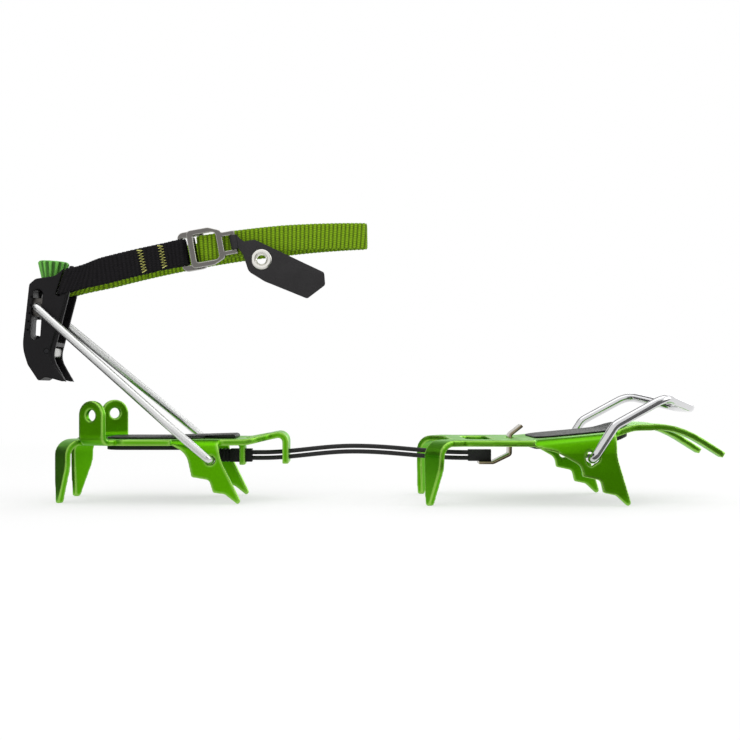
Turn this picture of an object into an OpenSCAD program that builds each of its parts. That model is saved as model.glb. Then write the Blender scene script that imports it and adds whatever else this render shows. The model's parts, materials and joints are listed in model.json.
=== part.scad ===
// Ten-point mountaineering crampon for the left or right boot, in millimetres.
// +X points to the toe, +Z is up, and the points stand on the plane z = 0.

/* [Plates] */
// Thickness of the bent aluminium plates
plate_t = 3; // [2.4:0.1:3.6]
// Height of the plates' underside above the tips of the points
point_h = 28; // [26:0.5:32]
// Inside radius of the bends above the side flanges
flange_bend_r = 3; // [2:0.5:4]
// Inside radius of the bends above the corner points
corner_bend_r = 5; // [3:0.5:6]
// Width of a corner point at its bend
corner_w = 13; // [11:0.5:14]
// Width of a point at its tip
tip_w = 3; // [2.7:0.1:4.5]

/* [Heel plate] */
// Forward position of the heel bail's pivot holes
bail_x = -77; // [-80:0.5:-75]
// Height of the heel bail's pivot holes
bail_z = 21.1; // [20:0.1:22]
// Half width over the outer faces of the heel flanges
heel_half_w = 28; // [27:0.5:30]
// Forward position of the middle of a heel corner bend
heel_corner_x = -143.3; // [-145:0.1:-142]
// Sideways position of the middle of a heel corner bend
heel_corner_y = 18.5; // [17.5:0.1:19]
// How far a heel corner point is turned outwards
heel_corner_turn = 36; // [30:1:38]
// Width of an ear
ear_w = 14; // [12:0.5:15]
// Diameter of the hole in an ear
ear_hole_d = 5.5; // [4:0.1:6.5]
// Height of the hole in an ear
ear_hole_z = 42.6; // [40:0.2:46]
// How far an ear is turned from the direction of travel
ear_turn = 26; // [20:1:28]
// Width of the front tongue of the heel plate
tongue_w = 24; // [20:1:28]
// Upward angle of the front tongue
tongue_rise = 12; // [8:1:14]

/* [Front plate] */
// Forward position of the toe bail's pivot holes
toe_x = 103.6; // [102:0.2:106]
// Height of the toe bail's pivot holes
toe_z = 22.4; // [21.5:0.1:23]
// Half width over the outer faces of the front flanges
front_half_w = 38.4; // [37:0.2:41]
// Forward position of the middle of a front plate corner bend
front_corner_x = 35.2; // [34:0.2:37]
// How far the middle of a front plate corner bend lies inside the flanges' outer faces
front_corner_inset = 5.4; // [4.8:0.2:6.4]
// How far a front plate corner point is turned outwards
front_corner_turn = 31; // [28:1:34]
// Upward angle of the toe end of the front plate
toe_rise = 16; // [12:1:18]
// Downward angle of the two front points
nose_drop = 30; // [24:1:34]
// Straight length of a front point
nose_len = 12.2; // [10:0.5:16]

/* [Bails] */
// Wire diameter of the toe bail
toe_wire_d = 4.4; // [3.6:0.1:4.6]
// Wire diameter of the heel bail
heel_wire_d = 4; // [3.4:0.1:4.2]
// Height of the toe bail's shoulder above its pivot
toe_bail_h = 29.1; // [26:0.5:32]
// Forward reach of the toe bail's crossbar from its pivot
toe_bail_reach = 58.2; // [54:0.5:62]
// Rearward reach of the heel bail to the lever's axis
bail_reach = 87; // [84:0.5:90]
// Upward reach of the heel bail to the lever's axis
bail_rise = 74.5; // [72:0.5:77]

/* [Heel lever] */
// Width of the lever
lever_w = 21.5; // [20:0.5:24]
// Wall thickness of the lever's cheeks
cheek_t = 3; // [2.4:0.1:3.4]
// Forward lean of the adjusting screw
screw_lean = 3.5; // [2:0.5:6]
// Diameter of the adjusting screw
screw_d = 4; // [3:0.1:4.2]
// Distance of the screw in front of the bail wire
screw_gap = 4.5; // [4.4:0.1:5]
// Diameter of the adjusting knob at its top
knob_d = 15.4; // [13:0.2:15.8]
// Height of the adjusting knob
knob_h = 9; // [7:0.2:9.6]
// Number of grips round the knob
knob_ribs = 14; // [10:1:18]

/* [Strap] */
// Width of the webbing
webbing_w = 12.7; // [11:0.1:14]
// Thickness of the webbing
webbing_t = 1.6; // [1.2:0.1:1.8]
// Forward position of the strap's front fold
fold_x = -2; // [-12:1:6]
// Forward position of the buckle's rear bar
buckle_x = -92.3; // [-94:0.1:-91]
// Room between the buckle's barrel and the webbing on its front bar
buckle_room = 0.3; // [0.2:0.1:0.8]
// Diameter of the bars of the buckle
bar_d = 2.4; // [1.8:0.1:2.6]
// Thickness of the pull tab
tab_t = 2; // [1.4:0.1:2.4]
// Outer diameter of the tab's eyelet
eyelet_d = 10; // [8:0.2:11]
// Inner diameter of the tab's eyelet
eyelet_hole_d = 4.6; // [3.6:0.1:5.2]

/* [Link] */
// Diameter of a coated link cable
cable_d = 2.2; // [1.6:0.1:2.4]
// Distance between the two link cables
cable_gap = 2.8; // [2.6:0.1:3.4]
// Height of the cables at the adjuster and the hook
cable_z = 22.2; // [21.5:0.1:22.6]
// Upward arch of the cables between the plates
cable_arch = 3.2; // [0:0.1:4]
// Thickness of the sheet steel link hook
hook_t = 1.4; // [1:0.1:1.6]
// Width of the link hook
hook_w = 11; // [9:0.5:12]

/* [Fits] */
// Radial clearance of a turning pin
run_clear = 0.05; // [0.02:0.01:0.1]
// Clearance of loose and soft pieces
loose_clear = 0.3; // [0.25:0.05:0.4]

/* [Hidden] */
$fn = 48;

anodised_green = [0.42, 0.62, 0.24];
soft_black = [0.09, 0.09, 0.1];
bright_steel = [0.78, 0.78, 0.8];
grey_steel = [0.5, 0.51, 0.52];
thread_green = [0.62, 0.72, 0.3];

// Levels and offsets shared by several pieces
deck_z = point_h;
deck_top = point_h + plate_t;
far = 400;
flange_turn = flange_bend_r + plate_t;
corner_turn_r = corner_bend_r + plate_t;

// Plane geometry
function unit(v) = v / norm(v);
function reversed(v) = [for (i = [len(v) - 1:-1:0]) v[i]];
function lerp(a, b, f) = a + (b - a) * f;
function turn_between(a, b) = ((b - a) % 360 + 540) % 360 - 180;
function direction(h) = [cos(h), sin(h)];
function left_of(h) = [-sin(h), cos(h)];

// Points of the fillet of radius p[2] at corner p between a and b
function fillet(a, p, b, n) =
  let (
    q = [p[0], p[1]],
    u = [a[0], a[1]] - q,
    v = [b[0], b[1]] - q,
    half = acos(max(-1, min(1, unit(u) * unit(v)))) / 2,
    cut = min(p[2] / tan(half), 0.48 * norm(u), 0.48 * norm(v)),
    centre = q + unit(unit(u) + unit(v)) * (cut / cos(half)),
    from = q + unit(u) * cut - centre,
    to = q + unit(v) * cut - centre,
    start = atan2(from[1], from[0]),
    sweep = turn_between(start, atan2(to[1], to[0]))
  )
  p[2] == 0 ? [q] : [for (k = [0:n]) centre + norm(from) * direction(start + sweep * k / n)];

// Closed outline from corners [x, y, radius]
function rounded(c, n = 5) =
  [for (i = [0:len(c) - 1]) each fillet(c[(i + len(c) - 1) % len(c)], c[i], c[(i + 1) % len(c)], n)];

// Open path from corners [x, y, radius]
function rounded_path(c, n = 6) =
  [for (i = [0:len(c) - 1])
    each i == 0 || i == len(c) - 1
      ? [[c[i][0], c[i][1]]]
      : fillet(c[i - 1], c[i], c[i + 1], n)];

// The left half of an outline, and its mirror image
function both_halves(c) = concat(c, reversed([for (p = c) [p[0], -p[1], p[2]]]));

function shifted(c, d) = [for (p = c) [p[0] + d[0], p[1] + d[1], p[2]]];

// One side of a bent strip: steps are [length, angle, radius of the lower side]
function bent_side(steps, off, p, h = 0, i = 0) =
  i == len(steps)
    ? []
    : let (
        a = steps[i][1],
        r = steps[i][2],
        q = p + steps[i][0] * direction(h),
        centre = q + sign(a) * r * left_of(h),
        n = max(1, ceil(abs(a) / 9)),
        bend = [for (k = [1:n]) let (g = h + a * k / n) centre - sign(a) * r * left_of(g) + off * left_of(g)]
      )
      concat(
        [p + off * left_of(h), q + off * left_of(h)],
        a == 0 ? [] : bend,
        bent_side(steps, off, centre - sign(a) * r * left_of(h + a), h + a, i + 1)
      );

function bent_strip(steps, low, high, p) =
  concat(bent_side(steps, low, p), reversed(bent_side(steps, high, p)));

// Solids from outlines
module along_y(w) {
  rotate([90, 0, 0])
    linear_extrude(w, center = true)
      children();
}

module along_x(w) {
  rotate([90, 0, 90])
    linear_extrude(w, center = true)
      children();
}

module both_sides() {
  children();
  mirror([0, 1, 0]) children();
}

module rod(a, b, d) {
  v = b - a;
  translate(a)
    rotate([0, acos(v[2] / norm(v)), atan2(v[1], v[0])])
      cylinder(h = norm(v), d = d);
}

// Round wire through corners [x, y, z, bend radius]; a bend swells a little where the wire is upset
bend_swell = 0.06;
bend_lap = 0.3;
module wire(c, d) {
  p = [for (k = c) [k[0], k[1], k[2]]];
  way = [for (i = [0:len(p) - 2]) unit(p[i + 1] - p[i])];
  bend = [for (i = [0:len(p) - 1]) i == 0 || i == len(p) - 1 ? 0 : acos(way[i - 1] * way[i])];
  trim = [for (i = [0:len(p) - 1]) bend[i] == 0 ? 0 : c[i][3] * tan(bend[i] / 2)];
  lap = [for (i = [0:len(p) - 1]) trim[i] == 0 ? 0 : trim[i] - bend_lap];
  for (i = [0:len(p) - 2])
    rod(p[i] + way[i] * lap[i], p[i + 1] - way[i] * lap[i + 1], d);
  for (i = [1:len(p) - 2]) {
    axis = unit(cross(way[i - 1], way[i]));
    inward = cross(axis, way[i - 1]);
    centre = p[i] - way[i - 1] * trim[i] + inward * c[i][3];
    multmatrix([
      [-inward[0], way[i - 1][0], axis[0], centre[0]],
      [-inward[1], way[i - 1][1], axis[1], centre[1]],
      [-inward[2], way[i - 1][2], axis[2], centre[2]],
      [0, 0, 0, 1]
    ])
      rotate_extrude(angle = bend[i])
        translate([c[i][3], 0])
          circle(d = d + bend_swell);
  }
}

// Turned bends: the sheet is drawn a little thinner, and runs a little past the deck's edge before it bends
bend_draw = 0.03;
bend_run = 0.2;

// Corner point: bent down from the deck and tapered to its tip
corner_drop = point_h - corner_bend_r;
tip_in = 1;
tip_r = 1.2;
module corner_point(x, y, turn) {
  steps = [[corner_turn_r, -90, corner_bend_r], [corner_drop, 0, 0]];
  half = corner_w / 2;
  outline = rounded([
    [-half, deck_top, 0],
    [-half, 0.6 * point_h, 12],
    [-half + tip_in, 0, tip_r],
    [-half + tip_in + tip_w, 0, tip_r],
    [half, 0.66 * point_h, 14],
    [half, deck_top, 0]
  ]);
  translate([x, y, 0])
    rotate(180 - turn)
      intersection() {
        along_y(2 * corner_w)
          polygon(bent_strip(steps, bend_draw, plate_t - bend_draw, [-corner_turn_r, deck_z]));
        along_x(far)
          polygon([for (p = outline) [-p[0], p[1]]]);
      }
}

// Side flange bent down from the deck, cut to a toothed outline in side view
module side_flange(outline, half_w) {
  steps = [[flange_turn, -90, flange_bend_r], [point_h, 0, 0]];
  both_sides()
    intersection() {
      along_x(far)
        polygon(bent_strip(steps, 0, plate_t, [half_w - 2 * flange_turn, deck_z]));
      along_y(far)
        polygon(rounded(outline));
    }
}

// Height and slot of the link cables along the part
cable_mid_x = -8;
cable_half_span = 56;
function cable_height(x) =
  let (f = min(1, abs(x - cable_mid_x) / cable_half_span))
  cable_z + cable_arch * cos(90 * f) * cos(90 * f);
module cable_slot(x, grow, l) {
  rise = cable_gap / 2 + grow;
  translate([x, 0, cable_height(x)]) {
    for (s = [-1, 1])
      translate([0, 0, s * rise])
        rotate([0, 90, 0])
          cylinder(h = l, d = cable_d + 2 * loose_clear, center = true);
    cube([l, cable_d + 2 * loose_clear, 2 * rise], center = true);
  }
}

// Heel plate
bail_hole_d = heel_wire_d + 2 * loose_clear;
heel_flange_outline = shifted([
  [-19, deck_top - bail_z + 1, 0],
  [-19, 7.4, 0],
  [-11.4, 3.4, 9],
  [-8.9, -8, 0.8],
  [-0.4, -9.5, 2.2],
  [1.4, -15.5, 0.8],
  [7, -16.2, 2.5],
  [13.2, -bail_z, 0.8],
  [14.6, 1.4 - bail_z, 0.8],
  [4.8, 0.4, 24],
  [3.8, 7.4, 0],
  [3.8, deck_top - bail_z + 1, 0]
], [bail_x, bail_z]);
heel_flat_x = -62;
tongue_len = 13.5;
tongue_drop = 10.7;
tongue_bend_r = 2;
heel_steps = [
  [heel_flat_x - heel_corner_x + 2 * corner_w, tongue_rise, 15],
  [tongue_len, -90 - tongue_rise, tongue_bend_r],
  [tongue_drop, 0, 0]
];
heel_start = [heel_corner_x - 2 * corner_w, deck_z];
function corner_end(x, y, turn, s) =
  [x + s * sin(turn) + bend_run * cos(turn), y + s * cos(turn) - bend_run * sin(turn), 0];
ear_seat = flange_bend_r - 1;
ear_bend_x = -131.5;
ear_bend_y = 25.8;
function ear_end(s) =
  [ear_bend_x + s * cos(ear_turn) + bend_run * sin(ear_turn),
   ear_bend_y + s * sin(ear_turn) - bend_run * cos(ear_turn), 0];
heel_window_front_x = bail_x - 7;
heel_window_rear_x = bail_x - 49;
heel_window_half_w = heel_half_w - 13;
heel_window_r = 7;
heel_window = both_halves([
  [heel_window_front_x, 0, 0],
  [heel_window_front_x, heel_window_half_w, heel_window_r],
  [heel_window_rear_x, heel_window_half_w, heel_window_r + 2],
  [heel_window_rear_x, 0, 0]
]);
heel_flange_rear = 19;
heel_flange_front = 3.8;
shoulder_in = 1.5;
shoulder_rear = 9;
shoulder_front = 12.5;
heel_outline = both_halves([
  [heel_corner_x + 3, 0, 0],
  [heel_corner_x + 3, 7, 6],
  corner_end(heel_corner_x, heel_corner_y, heel_corner_turn, -corner_w / 2 - bend_run),
  corner_end(heel_corner_x, heel_corner_y, heel_corner_turn, corner_w / 2 + bend_run),
  ear_end(-ear_w / 2 - bend_run),
  ear_end(ear_w / 2 + bend_run),
  [ear_bend_x + shoulder_rear, heel_half_w - shoulder_in, 0],
  [ear_bend_x + shoulder_front, heel_half_w, 3],
  [bail_x - heel_flange_rear, heel_half_w, 0],
  [bail_x - heel_flange_rear, heel_half_w - flange_turn, 0],
  [bail_x + heel_flange_front, heel_half_w - flange_turn, 0],
  [bail_x + 4.4, heel_half_w - 2.4, 1],
  [bail_x + 20, heel_half_w - 6, 8],
  [bail_x + 27, tongue_w / 2, 6],
  [-20, tongue_w / 2, 0],
  [-20, 0, 0]
]);
lug_w = 10;
lug_x = -62;
lug_drop = 8.5;
lug_root = 6;
lug_gap = 0.5;
lug_window = 11;
lug_slot_play = 0.5;
tongue_slot_x = -42;
tongue_slot_play = 1.4;
cut_through = 9;
module ear() {
  steps = [[4, 90, ear_seat + plate_t], [ear_hole_z + ear_w - deck_top, 0, 0]];
  translate([ear_bend_x, ear_bend_y, 0])
    rotate(ear_turn)
      difference() {
        intersection() {
          along_x(far)
            polygon(bent_strip(steps, bend_draw, plate_t - bend_draw, [-4, deck_z]));
          union() {
            along_y(far)
              translate([-ear_w / 2, 0])
                square([ear_w, ear_hole_z]);
            translate([0, 0, ear_hole_z])
              rotate([90, 0, 0])
                cylinder(h = far, d = ear_w, center = true);
          }
        }
        translate([0, 0, ear_hole_z])
          rotate([90, 0, 0])
            cylinder(h = far, d = ear_hole_d, center = true);
      }
}
module heel_plate() {
  lug_steps = [[lug_root, -90, tongue_bend_r], [lug_drop, 0, 0]];
  color(anodised_green)
    difference() {
      union() {
        intersection() {
          along_y(far)
            polygon(bent_strip(heel_steps, 0, plate_t, heel_start));
          linear_extrude(far, center = true)
            difference() {
              polygon(rounded(heel_outline));
              polygon(rounded(heel_window));
              translate([lug_x, -lug_w / 2 - lug_gap])
                square([lug_window, lug_w + 2 * lug_gap]);
            }
        }
        side_flange(heel_flange_outline, heel_half_w);
        both_sides() {
          corner_point(heel_corner_x, heel_corner_y, heel_corner_turn);
          ear();
        }
        along_y(lug_w)
          polygon(bent_strip(lug_steps, 0, plate_t, [lug_x - plate_t - tongue_bend_r - lug_root, deck_z]));
      }
      translate([bail_x, 0, bail_z])
        rotate([90, 0, 0])
          cylinder(h = far, d = bail_hole_d, center = true);
      cable_slot(tongue_slot_x, tongue_slot_play, cut_through);
      cable_slot(lug_x - plate_t / 2, lug_slot_play, cut_through);
    }
}

// Front plate
front_corner_y = front_half_w - front_corner_inset;
toe_hole_d = toe_wire_d + 2 * loose_clear;
toe_flange_outline = shifted([
  [-26, deck_top - toe_z + 1, 0],
  [-26, 5, 0],
  [-15.6, 2.6, 16],
  [-5, -3.4, 5],
  [-4.4, -8.4, 0.8],
  [4, -10.2, 2.2],
  [5.3, -16, 0.8],
  [11.2, -17.2, 2.5],
  [16.8, -toe_z, 0.8],
  [18.4, 1.4 - toe_z, 0.8],
  [11.6, 1.6, 36],
  [12, deck_top - toe_z + 1, 0]
], [toe_x, toe_z]);
toe_bend_x = toe_x + 9.4;
rise_r = 25;
rise_len = 13;
nose_r = 34;
front_start = [front_corner_x - 2 * corner_w, deck_z];
front_steps = [
  [toe_bend_x - front_start[0], toe_rise, rise_r],
  [rise_len, -toe_rise - nose_drop, nose_r],
  [nose_len, 0, 0]
];
window_rim = 17.4;
window_r = 6;
window_rear_x = toe_x - 20.6;
window_front_x = toe_x + 18.4;
window_half_w = front_half_w - window_rim;
front_window = both_halves([
  [window_rear_x, 0, 0],
  [window_rear_x, window_half_w, window_r],
  [window_front_x, window_half_w - 2, window_r + 1],
  [window_front_x, 0, 0]
]);
slot_rear_x = 47;
slot_front_x = 60;
slot_half_w = front_half_w - window_rim + 1;
slot_r = 5;
rear_window = both_halves([
  [slot_rear_x, 0, 0],
  [slot_rear_x, slot_half_w, slot_r],
  [slot_front_x, slot_half_w, slot_r],
  [slot_front_x, 0, 0]
]);
hook_slot_x = 70;
point_out = 24.5;
point_in = 14.5;
point_tip_y = 20.5;
point_tip_w = 4;
point_root_x = toe_x + 42;
point_root_r = 20;
point_far_x = toe_x + 90;
neck_x = toe_x + 24;
neck_r = 18;
crotch_x = toe_x + 35;
crotch_w = 14;
crotch_r = 6;
rear_notch = 4;
rear_notch_w = 36;
rear_notch_r = 10;
flange_rear = 26;
flange_front = 12;
front_outline = both_halves([
  [front_corner_x + rear_notch, 0, 0],
  [front_corner_x + rear_notch, rear_notch_w / 2, rear_notch_r],
  corner_end(front_corner_x, front_corner_y, front_corner_turn, -corner_w / 2 - bend_run),
  corner_end(front_corner_x, front_corner_y, front_corner_turn, corner_w / 2 + bend_run),
  [front_corner_x + 9, front_half_w - 2, 3],
  [toe_x - flange_rear - 0.6, front_half_w - 0.6, 0],
  [toe_x - flange_rear, front_half_w - flange_turn, 0],
  [toe_x + flange_front, front_half_w - flange_turn, 0],
  [toe_x + flange_front + 1.4, point_out + 3, 5],
  [neck_x, point_out, neck_r],
  [point_root_x, point_out, point_root_r],
  [point_far_x, point_tip_y + point_tip_w / 2, 0],
  [point_far_x, point_tip_y - point_tip_w / 2, 0],
  [point_root_x, point_in, 5],
  [crotch_x, crotch_w / 2, crotch_r],
  [crotch_x, 0, 0]
]);
module front_plate() {
  color(anodised_green)
    difference() {
      union() {
        intersection() {
          along_y(far)
            polygon(bent_strip(front_steps, 0, plate_t, front_start));
          linear_extrude(far, center = true)
            difference() {
              polygon(rounded(front_outline));
              polygon(rounded(front_window));
              polygon(rounded(rear_window));
              translate([hook_slot_x - hook_t, -hook_w / 2 - 1])
                square([2 * hook_t + 1, hook_w + 2]);
            }
        }
        side_flange(toe_flange_outline, front_half_w);
        both_sides()
          corner_point(front_corner_x, front_corner_y, front_corner_turn);
      }
      for (turn = [0, 130, 250])
        translate([toe_x, 0, toe_z])
          rotate([0, turn, 0])
            translate([-1, 0, 1])
              rotate([90, 0, 0])
                cylinder(h = far, d = toe_hole_d - 0.6, center = true);
      translate([toe_x, 0, toe_z])
        rotate([90, 0, 0])
          cylinder(h = far, d = toe_hole_d, center = true);
    }
}

// Snow-shedding plates pressed into the windows
antiball_lip = 3.4;
antiball_pan = 2.4;
antiball_fit = 0.2;
function grown_window(w, g) = [for (p = w) [p[0] + sign(p[0] - w[0][0] - (w[3][0] - w[0][0]) / 2) * g,
  p[1] + sign(p[1]) * g, p[2] == 0 ? 0 : p[2] + g]];
module antiball(window, steps, start, top) {
  module slab(g, low, high) {
    intersection() {
      along_y(far)
        polygon(bent_strip(steps, low, high, start));
      linear_extrude(far, center = true)
        polygon(rounded(grown_window(window, g)));
    }
  }
  slab(-antiball_fit, -antiball_pan, plate_t + top);
  slab(antiball_lip, plate_t, plate_t + top);
  slab(antiball_lip, -antiball_pan, 0);
}
wedge_h = 1.2;
wedge_w = 26;
wedge_rear = 30;
wedge_front = 11;
heel_pan = 0.8;
front_pan = 0.8;
wedge_rear_x = bail_x - wedge_rear;
wedge_front_x = bail_x + wedge_front;
wedge_profile = [[wedge_rear_x, 0], [wedge_rear_x, heel_pan], [wedge_front_x - 1, wedge_h + heel_pan],
  [wedge_front_x, wedge_h], [wedge_front_x, 0]];
module heel_antiball_plate() {
  color(soft_black) {
    antiball(heel_window, heel_steps, heel_start, heel_pan);
    along_y(wedge_w)
      polygon([for (p = wedge_profile) [p[0], deck_top + p[1]]]);
  }
}
module front_antiball_plate() {
  color(soft_black)
    antiball(front_window, front_steps, front_start, front_pan);
}

// Toe bail: bowed wire whose ends turn in through the flange holes
toe_arm_y = front_half_w + loose_clear + toe_wire_d / 2;
wire_end = 2.5;
wire_bend_r = 3;
bow_back = 5;
bow_drop = 5.6;
toe_corners = [
  [0, front_half_w - plate_t - wire_end, 0, 0],
  [0, toe_arm_y, 0, wire_bend_r],
  [10, toe_arm_y, 15.8, 8],
  [34.2, toe_arm_y - 1, toe_bail_h, 10],
  [toe_bail_reach - bow_back, 14, toe_bail_h - bow_drop, 16]
];
module toe_bail() {
  half = [for (c = toe_corners) [toe_x + c[0], c[1], toe_z + c[2], c[3]]];
  color(bright_steel)
    wire(concat(half, reversed([for (c = half) [c[0], -c[1], c[2], c[3]]])), toe_wire_d);
}

// Heel lever frame: the bail wire's axis in the lever
lever_x = bail_x - bail_reach;
lever_z = bail_z + bail_rise;
cheek_y = lever_w / 2;
channel_y = cheek_y - cheek_t;
grip_clear = 0.65;
lever_slot_w = heel_wire_d + 1;
module lever_frame() {
  translate([lever_x, 0, lever_z])
    rotate([0, screw_lean, 0])
      children();
}

// Heel bail: one wire that runs through the carriage, with its ends turned in through the flange holes.
// Its arms run straight up past the deck, and lean in above it.
knee_share = 0.22;
knee_r = 30;
grip_bend_r = 3.2;
module heel_bail() {
  arm_y = heel_half_w + loose_clear + heel_wire_d / 2;
  grip_y = cheek_y + grip_clear + heel_wire_d / 2;
  half = [
    [bail_x, heel_half_w - plate_t - wire_end, bail_z, 0],
    [bail_x, arm_y, bail_z, wire_bend_r],
    [bail_x - knee_share * bail_reach, arm_y, bail_z + knee_share * bail_rise, knee_r],
    [lever_x, grip_y, lever_z, grip_bend_r]
  ];
  color(grey_steel)
    wire(concat(half, reversed([for (c = half) [c[0], -c[1], c[2], c[3]]])), heel_wire_d);
}

// Carriage: threaded block that carries the wire ends inside the lever
carriage_h = 9;
carriage_back = heel_wire_d / 2 + 1.2;
carriage_front = screw_gap + screw_d / 2 + 1.6;
carriage_y = channel_y - loose_clear;
module bail_carriage() {
  color(bright_steel)
    lever_frame()
      difference() {
        translate([-carriage_back, -carriage_y, -carriage_h / 2])
          cube([carriage_back + carriage_front, 2 * carriage_y, carriage_h]);
        rotate([90, 0, 0])
          cylinder(h = far, d = heel_wire_d + 2 * run_clear, center = true);
        translate([screw_gap, 0, 0])
          cylinder(h = far, d = screw_d + 2 * run_clear, center = true);
      }
}

// Heel lever: moulded channel with a hook below and strap wings above
slot_up = 6.2;
slot_down = 13.6;
channel_top = 8.8;
channel_floor = -16.6;
seat_z = 14.2;
floor_t = 2.8;
screw_foot = channel_floor - floor_t + 1;
wing_lean = 18;
wing_x = 15;
wing_z = 12.6;
wing_bar = 2.6;
slit_room = 1.8;
pad_x = 4.8;
pad_z = -21.8;
fork_top = channel_floor - floor_t;
fork_cut = [[-0.5, fork_top], [0.2, -25], [3.4, -30.5], [9.5, -40], [far / 2, -40], [far / 2, fork_top]];
// The far cheek's slot is wider below, where the wire is fitted
fitting_back = -4.9;
fitting_top = -5.5;
throat_x = 5.3;
throat_z = -25;
throat_r = 10;
lip_w = 2.3;
lip_step = 1.2;
lip_outline = [
  [1, 4, 0],
  [1, throat_z - 1, 0],
  [5, throat_z - 9, 2],
  [14.2, throat_z - 11.9, 0],
  [throat_x + lip_w, throat_z, throat_r],
  [14.2 + lip_w / 2, 5, 20],
  [17.8, 17.5, 0],
  [12, 16.5, 0]
];
pad_pin_d = 2.4;
lever_outline = [
  [-3.8, 11.2, 2],
  [-7.2, -20, 24],
  [-4.6, -28.4, 6],
  [0.8, -36.6, 1.1],
  [4.2, -34.4, 1.4],
  [14.9, -37.4, 0.9],
  [throat_x, throat_z, throat_r],
  [14.2, 5, 20],
  [19, 20.4, 1.2],
  [14.5, 19.9, 2],
  [8.7, 15.2, 5],
  [-0.6, 13.9, 3]
];
module wing_slit() {
  translate([wing_x, 0, wing_z])
    rotate([0, wing_lean, 0])
      translate([-wing_bar / 2 - webbing_t - 2 * loose_clear, -far / 2, -webbing_w / 2 - slit_room])
        cube([webbing_t + 2 * loose_clear, far, webbing_w + 2 * slit_room]);
}
module heel_lever() {
  gap = loose_clear;
  color(soft_black)
    difference() {
      translate([lever_x, 0, lever_z])
        difference() {
          union() {
            along_y(lever_w)
              polygon(rounded(lever_outline));
            along_y(lever_w - 2 * lip_step)
              polygon(rounded(lip_outline));
          }
          wing_slit();
          along_y(2 * channel_y)
            polygon(fork_cut);
          translate([pad_x, 0, pad_z])
            rotate([90, 0, 0])
              cylinder(h = far, d = pad_pin_d, center = true);
        }
      lever_frame() {
        translate([-carriage_back - gap, -channel_y, channel_floor])
          cube([far, 2 * channel_y, channel_top - channel_floor]);
        translate([carriage_front + gap, -channel_y, channel_floor])
          cube([far, 2 * channel_y, far]);
        translate([fitting_back, 0, -slot_down])
          cube([lever_slot_w / 2 - fitting_back, far, slot_down + fitting_top]);
        translate([-lever_slot_w / 2, -far / 2, -slot_down])
          cube([lever_slot_w, far, slot_down + slot_up]);
        for (z = [-slot_down, slot_up])
          translate([0, 0, z])
            rotate([90, 0, 0])
              cylinder(h = far, d = lever_slot_w, center = true);
        translate([screw_gap, 0, seat_z])
          cylinder(h = far, d = knob_d + 2 * gap);
        translate([screw_gap, 0, screw_foot])
          cylinder(h = far, d = screw_d + 2 * run_clear);
      }
    }
}

// Steel pad at the hook's throat, and the pin that holds it
module hook_pad() {
  color(bright_steel)
    translate([lever_x, 0, lever_z])
      difference() {
        along_y(2 * carriage_y)
          polygon(rounded([[pad_x - 1.8, pad_z - 2.6, 1], [pad_x + 3, pad_z - 3.4, 1.8],
            [pad_x + 3.4, pad_z + 2, 1], [pad_x - 1.8, pad_z + 2, 1]]));
        translate([pad_x, 0, pad_z])
          rotate([90, 0, 0])
            cylinder(h = far, d = pad_pin_d, center = true);
      }
}
module hook_pad_pin() {
  color(grey_steel)
    translate([lever_x + pad_x, 0, lever_z + pad_z])
      rotate([90, 0, 0])
        cylinder(h = lever_w, d = pad_pin_d, center = true);
}

// Adjusting screw and knob, which turn together on the lever
module adjuster_screw() {
  color(bright_steel)
    lever_frame()
      translate([screw_gap, 0, screw_foot + loose_clear])
        cylinder(h = seat_z + knob_h - screw_foot - 1, d = screw_d);
}
module adjuster_knob() {
  base_d = knob_d - 4.6;
  groove_d = 2;
  color(anodised_green)
    lever_frame()
      translate([screw_gap, 0, seat_z + loose_clear])
        difference() {
          union() {
            cylinder(h = knob_h - 1, d1 = base_d, d2 = knob_d);
            translate([0, 0, knob_h - 1])
              cylinder(h = 1, d1 = knob_d, d2 = knob_d - 1.6);
          }
          translate([0, 0, -1])
            cylinder(h = knob_h + 2, d = screw_d);
          for (i = [0:knob_ribs - 1])
            rotate(360 * i / knob_ribs)
              rod([base_d / 2 + 0.2, 0, -1], [knob_d / 2 + 0.5, 0, knob_h + 1], groove_d);
        }
}

// Strap: height of its middle line, and the lean of its edges in side view
strap_start_x = lever_x + wing_x;
strap_start_z = lever_z + wing_z;
strap_slope = 0.298;
strap_sag = 0.00095;
function strap_height(x) =
  let (d = x - strap_start_x)
  strap_start_z + strap_slope * d - strap_sag * d * d;
function strap_grade(x) = strap_slope - 2 * strap_sag * (x - strap_start_x);
function strap_lean(x) =
  let (f = max(0, min(1, (x - strap_start_x - 4) / 16)))
  lerp(tan(wing_lean), -strap_grade(x), f * f * (3 - 2 * f));

// Plan path with points no further apart than a step
function dense(path, step) =
  concat(
    [for (i = [0:len(path) - 2])
      let (n = max(1, ceil(norm(path[i + 1] - path[i]) / step)))
      for (k = [0:n - 1]) lerp(path[i], path[i + 1], k / n)],
    [path[len(path) - 1]]
  );

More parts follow.
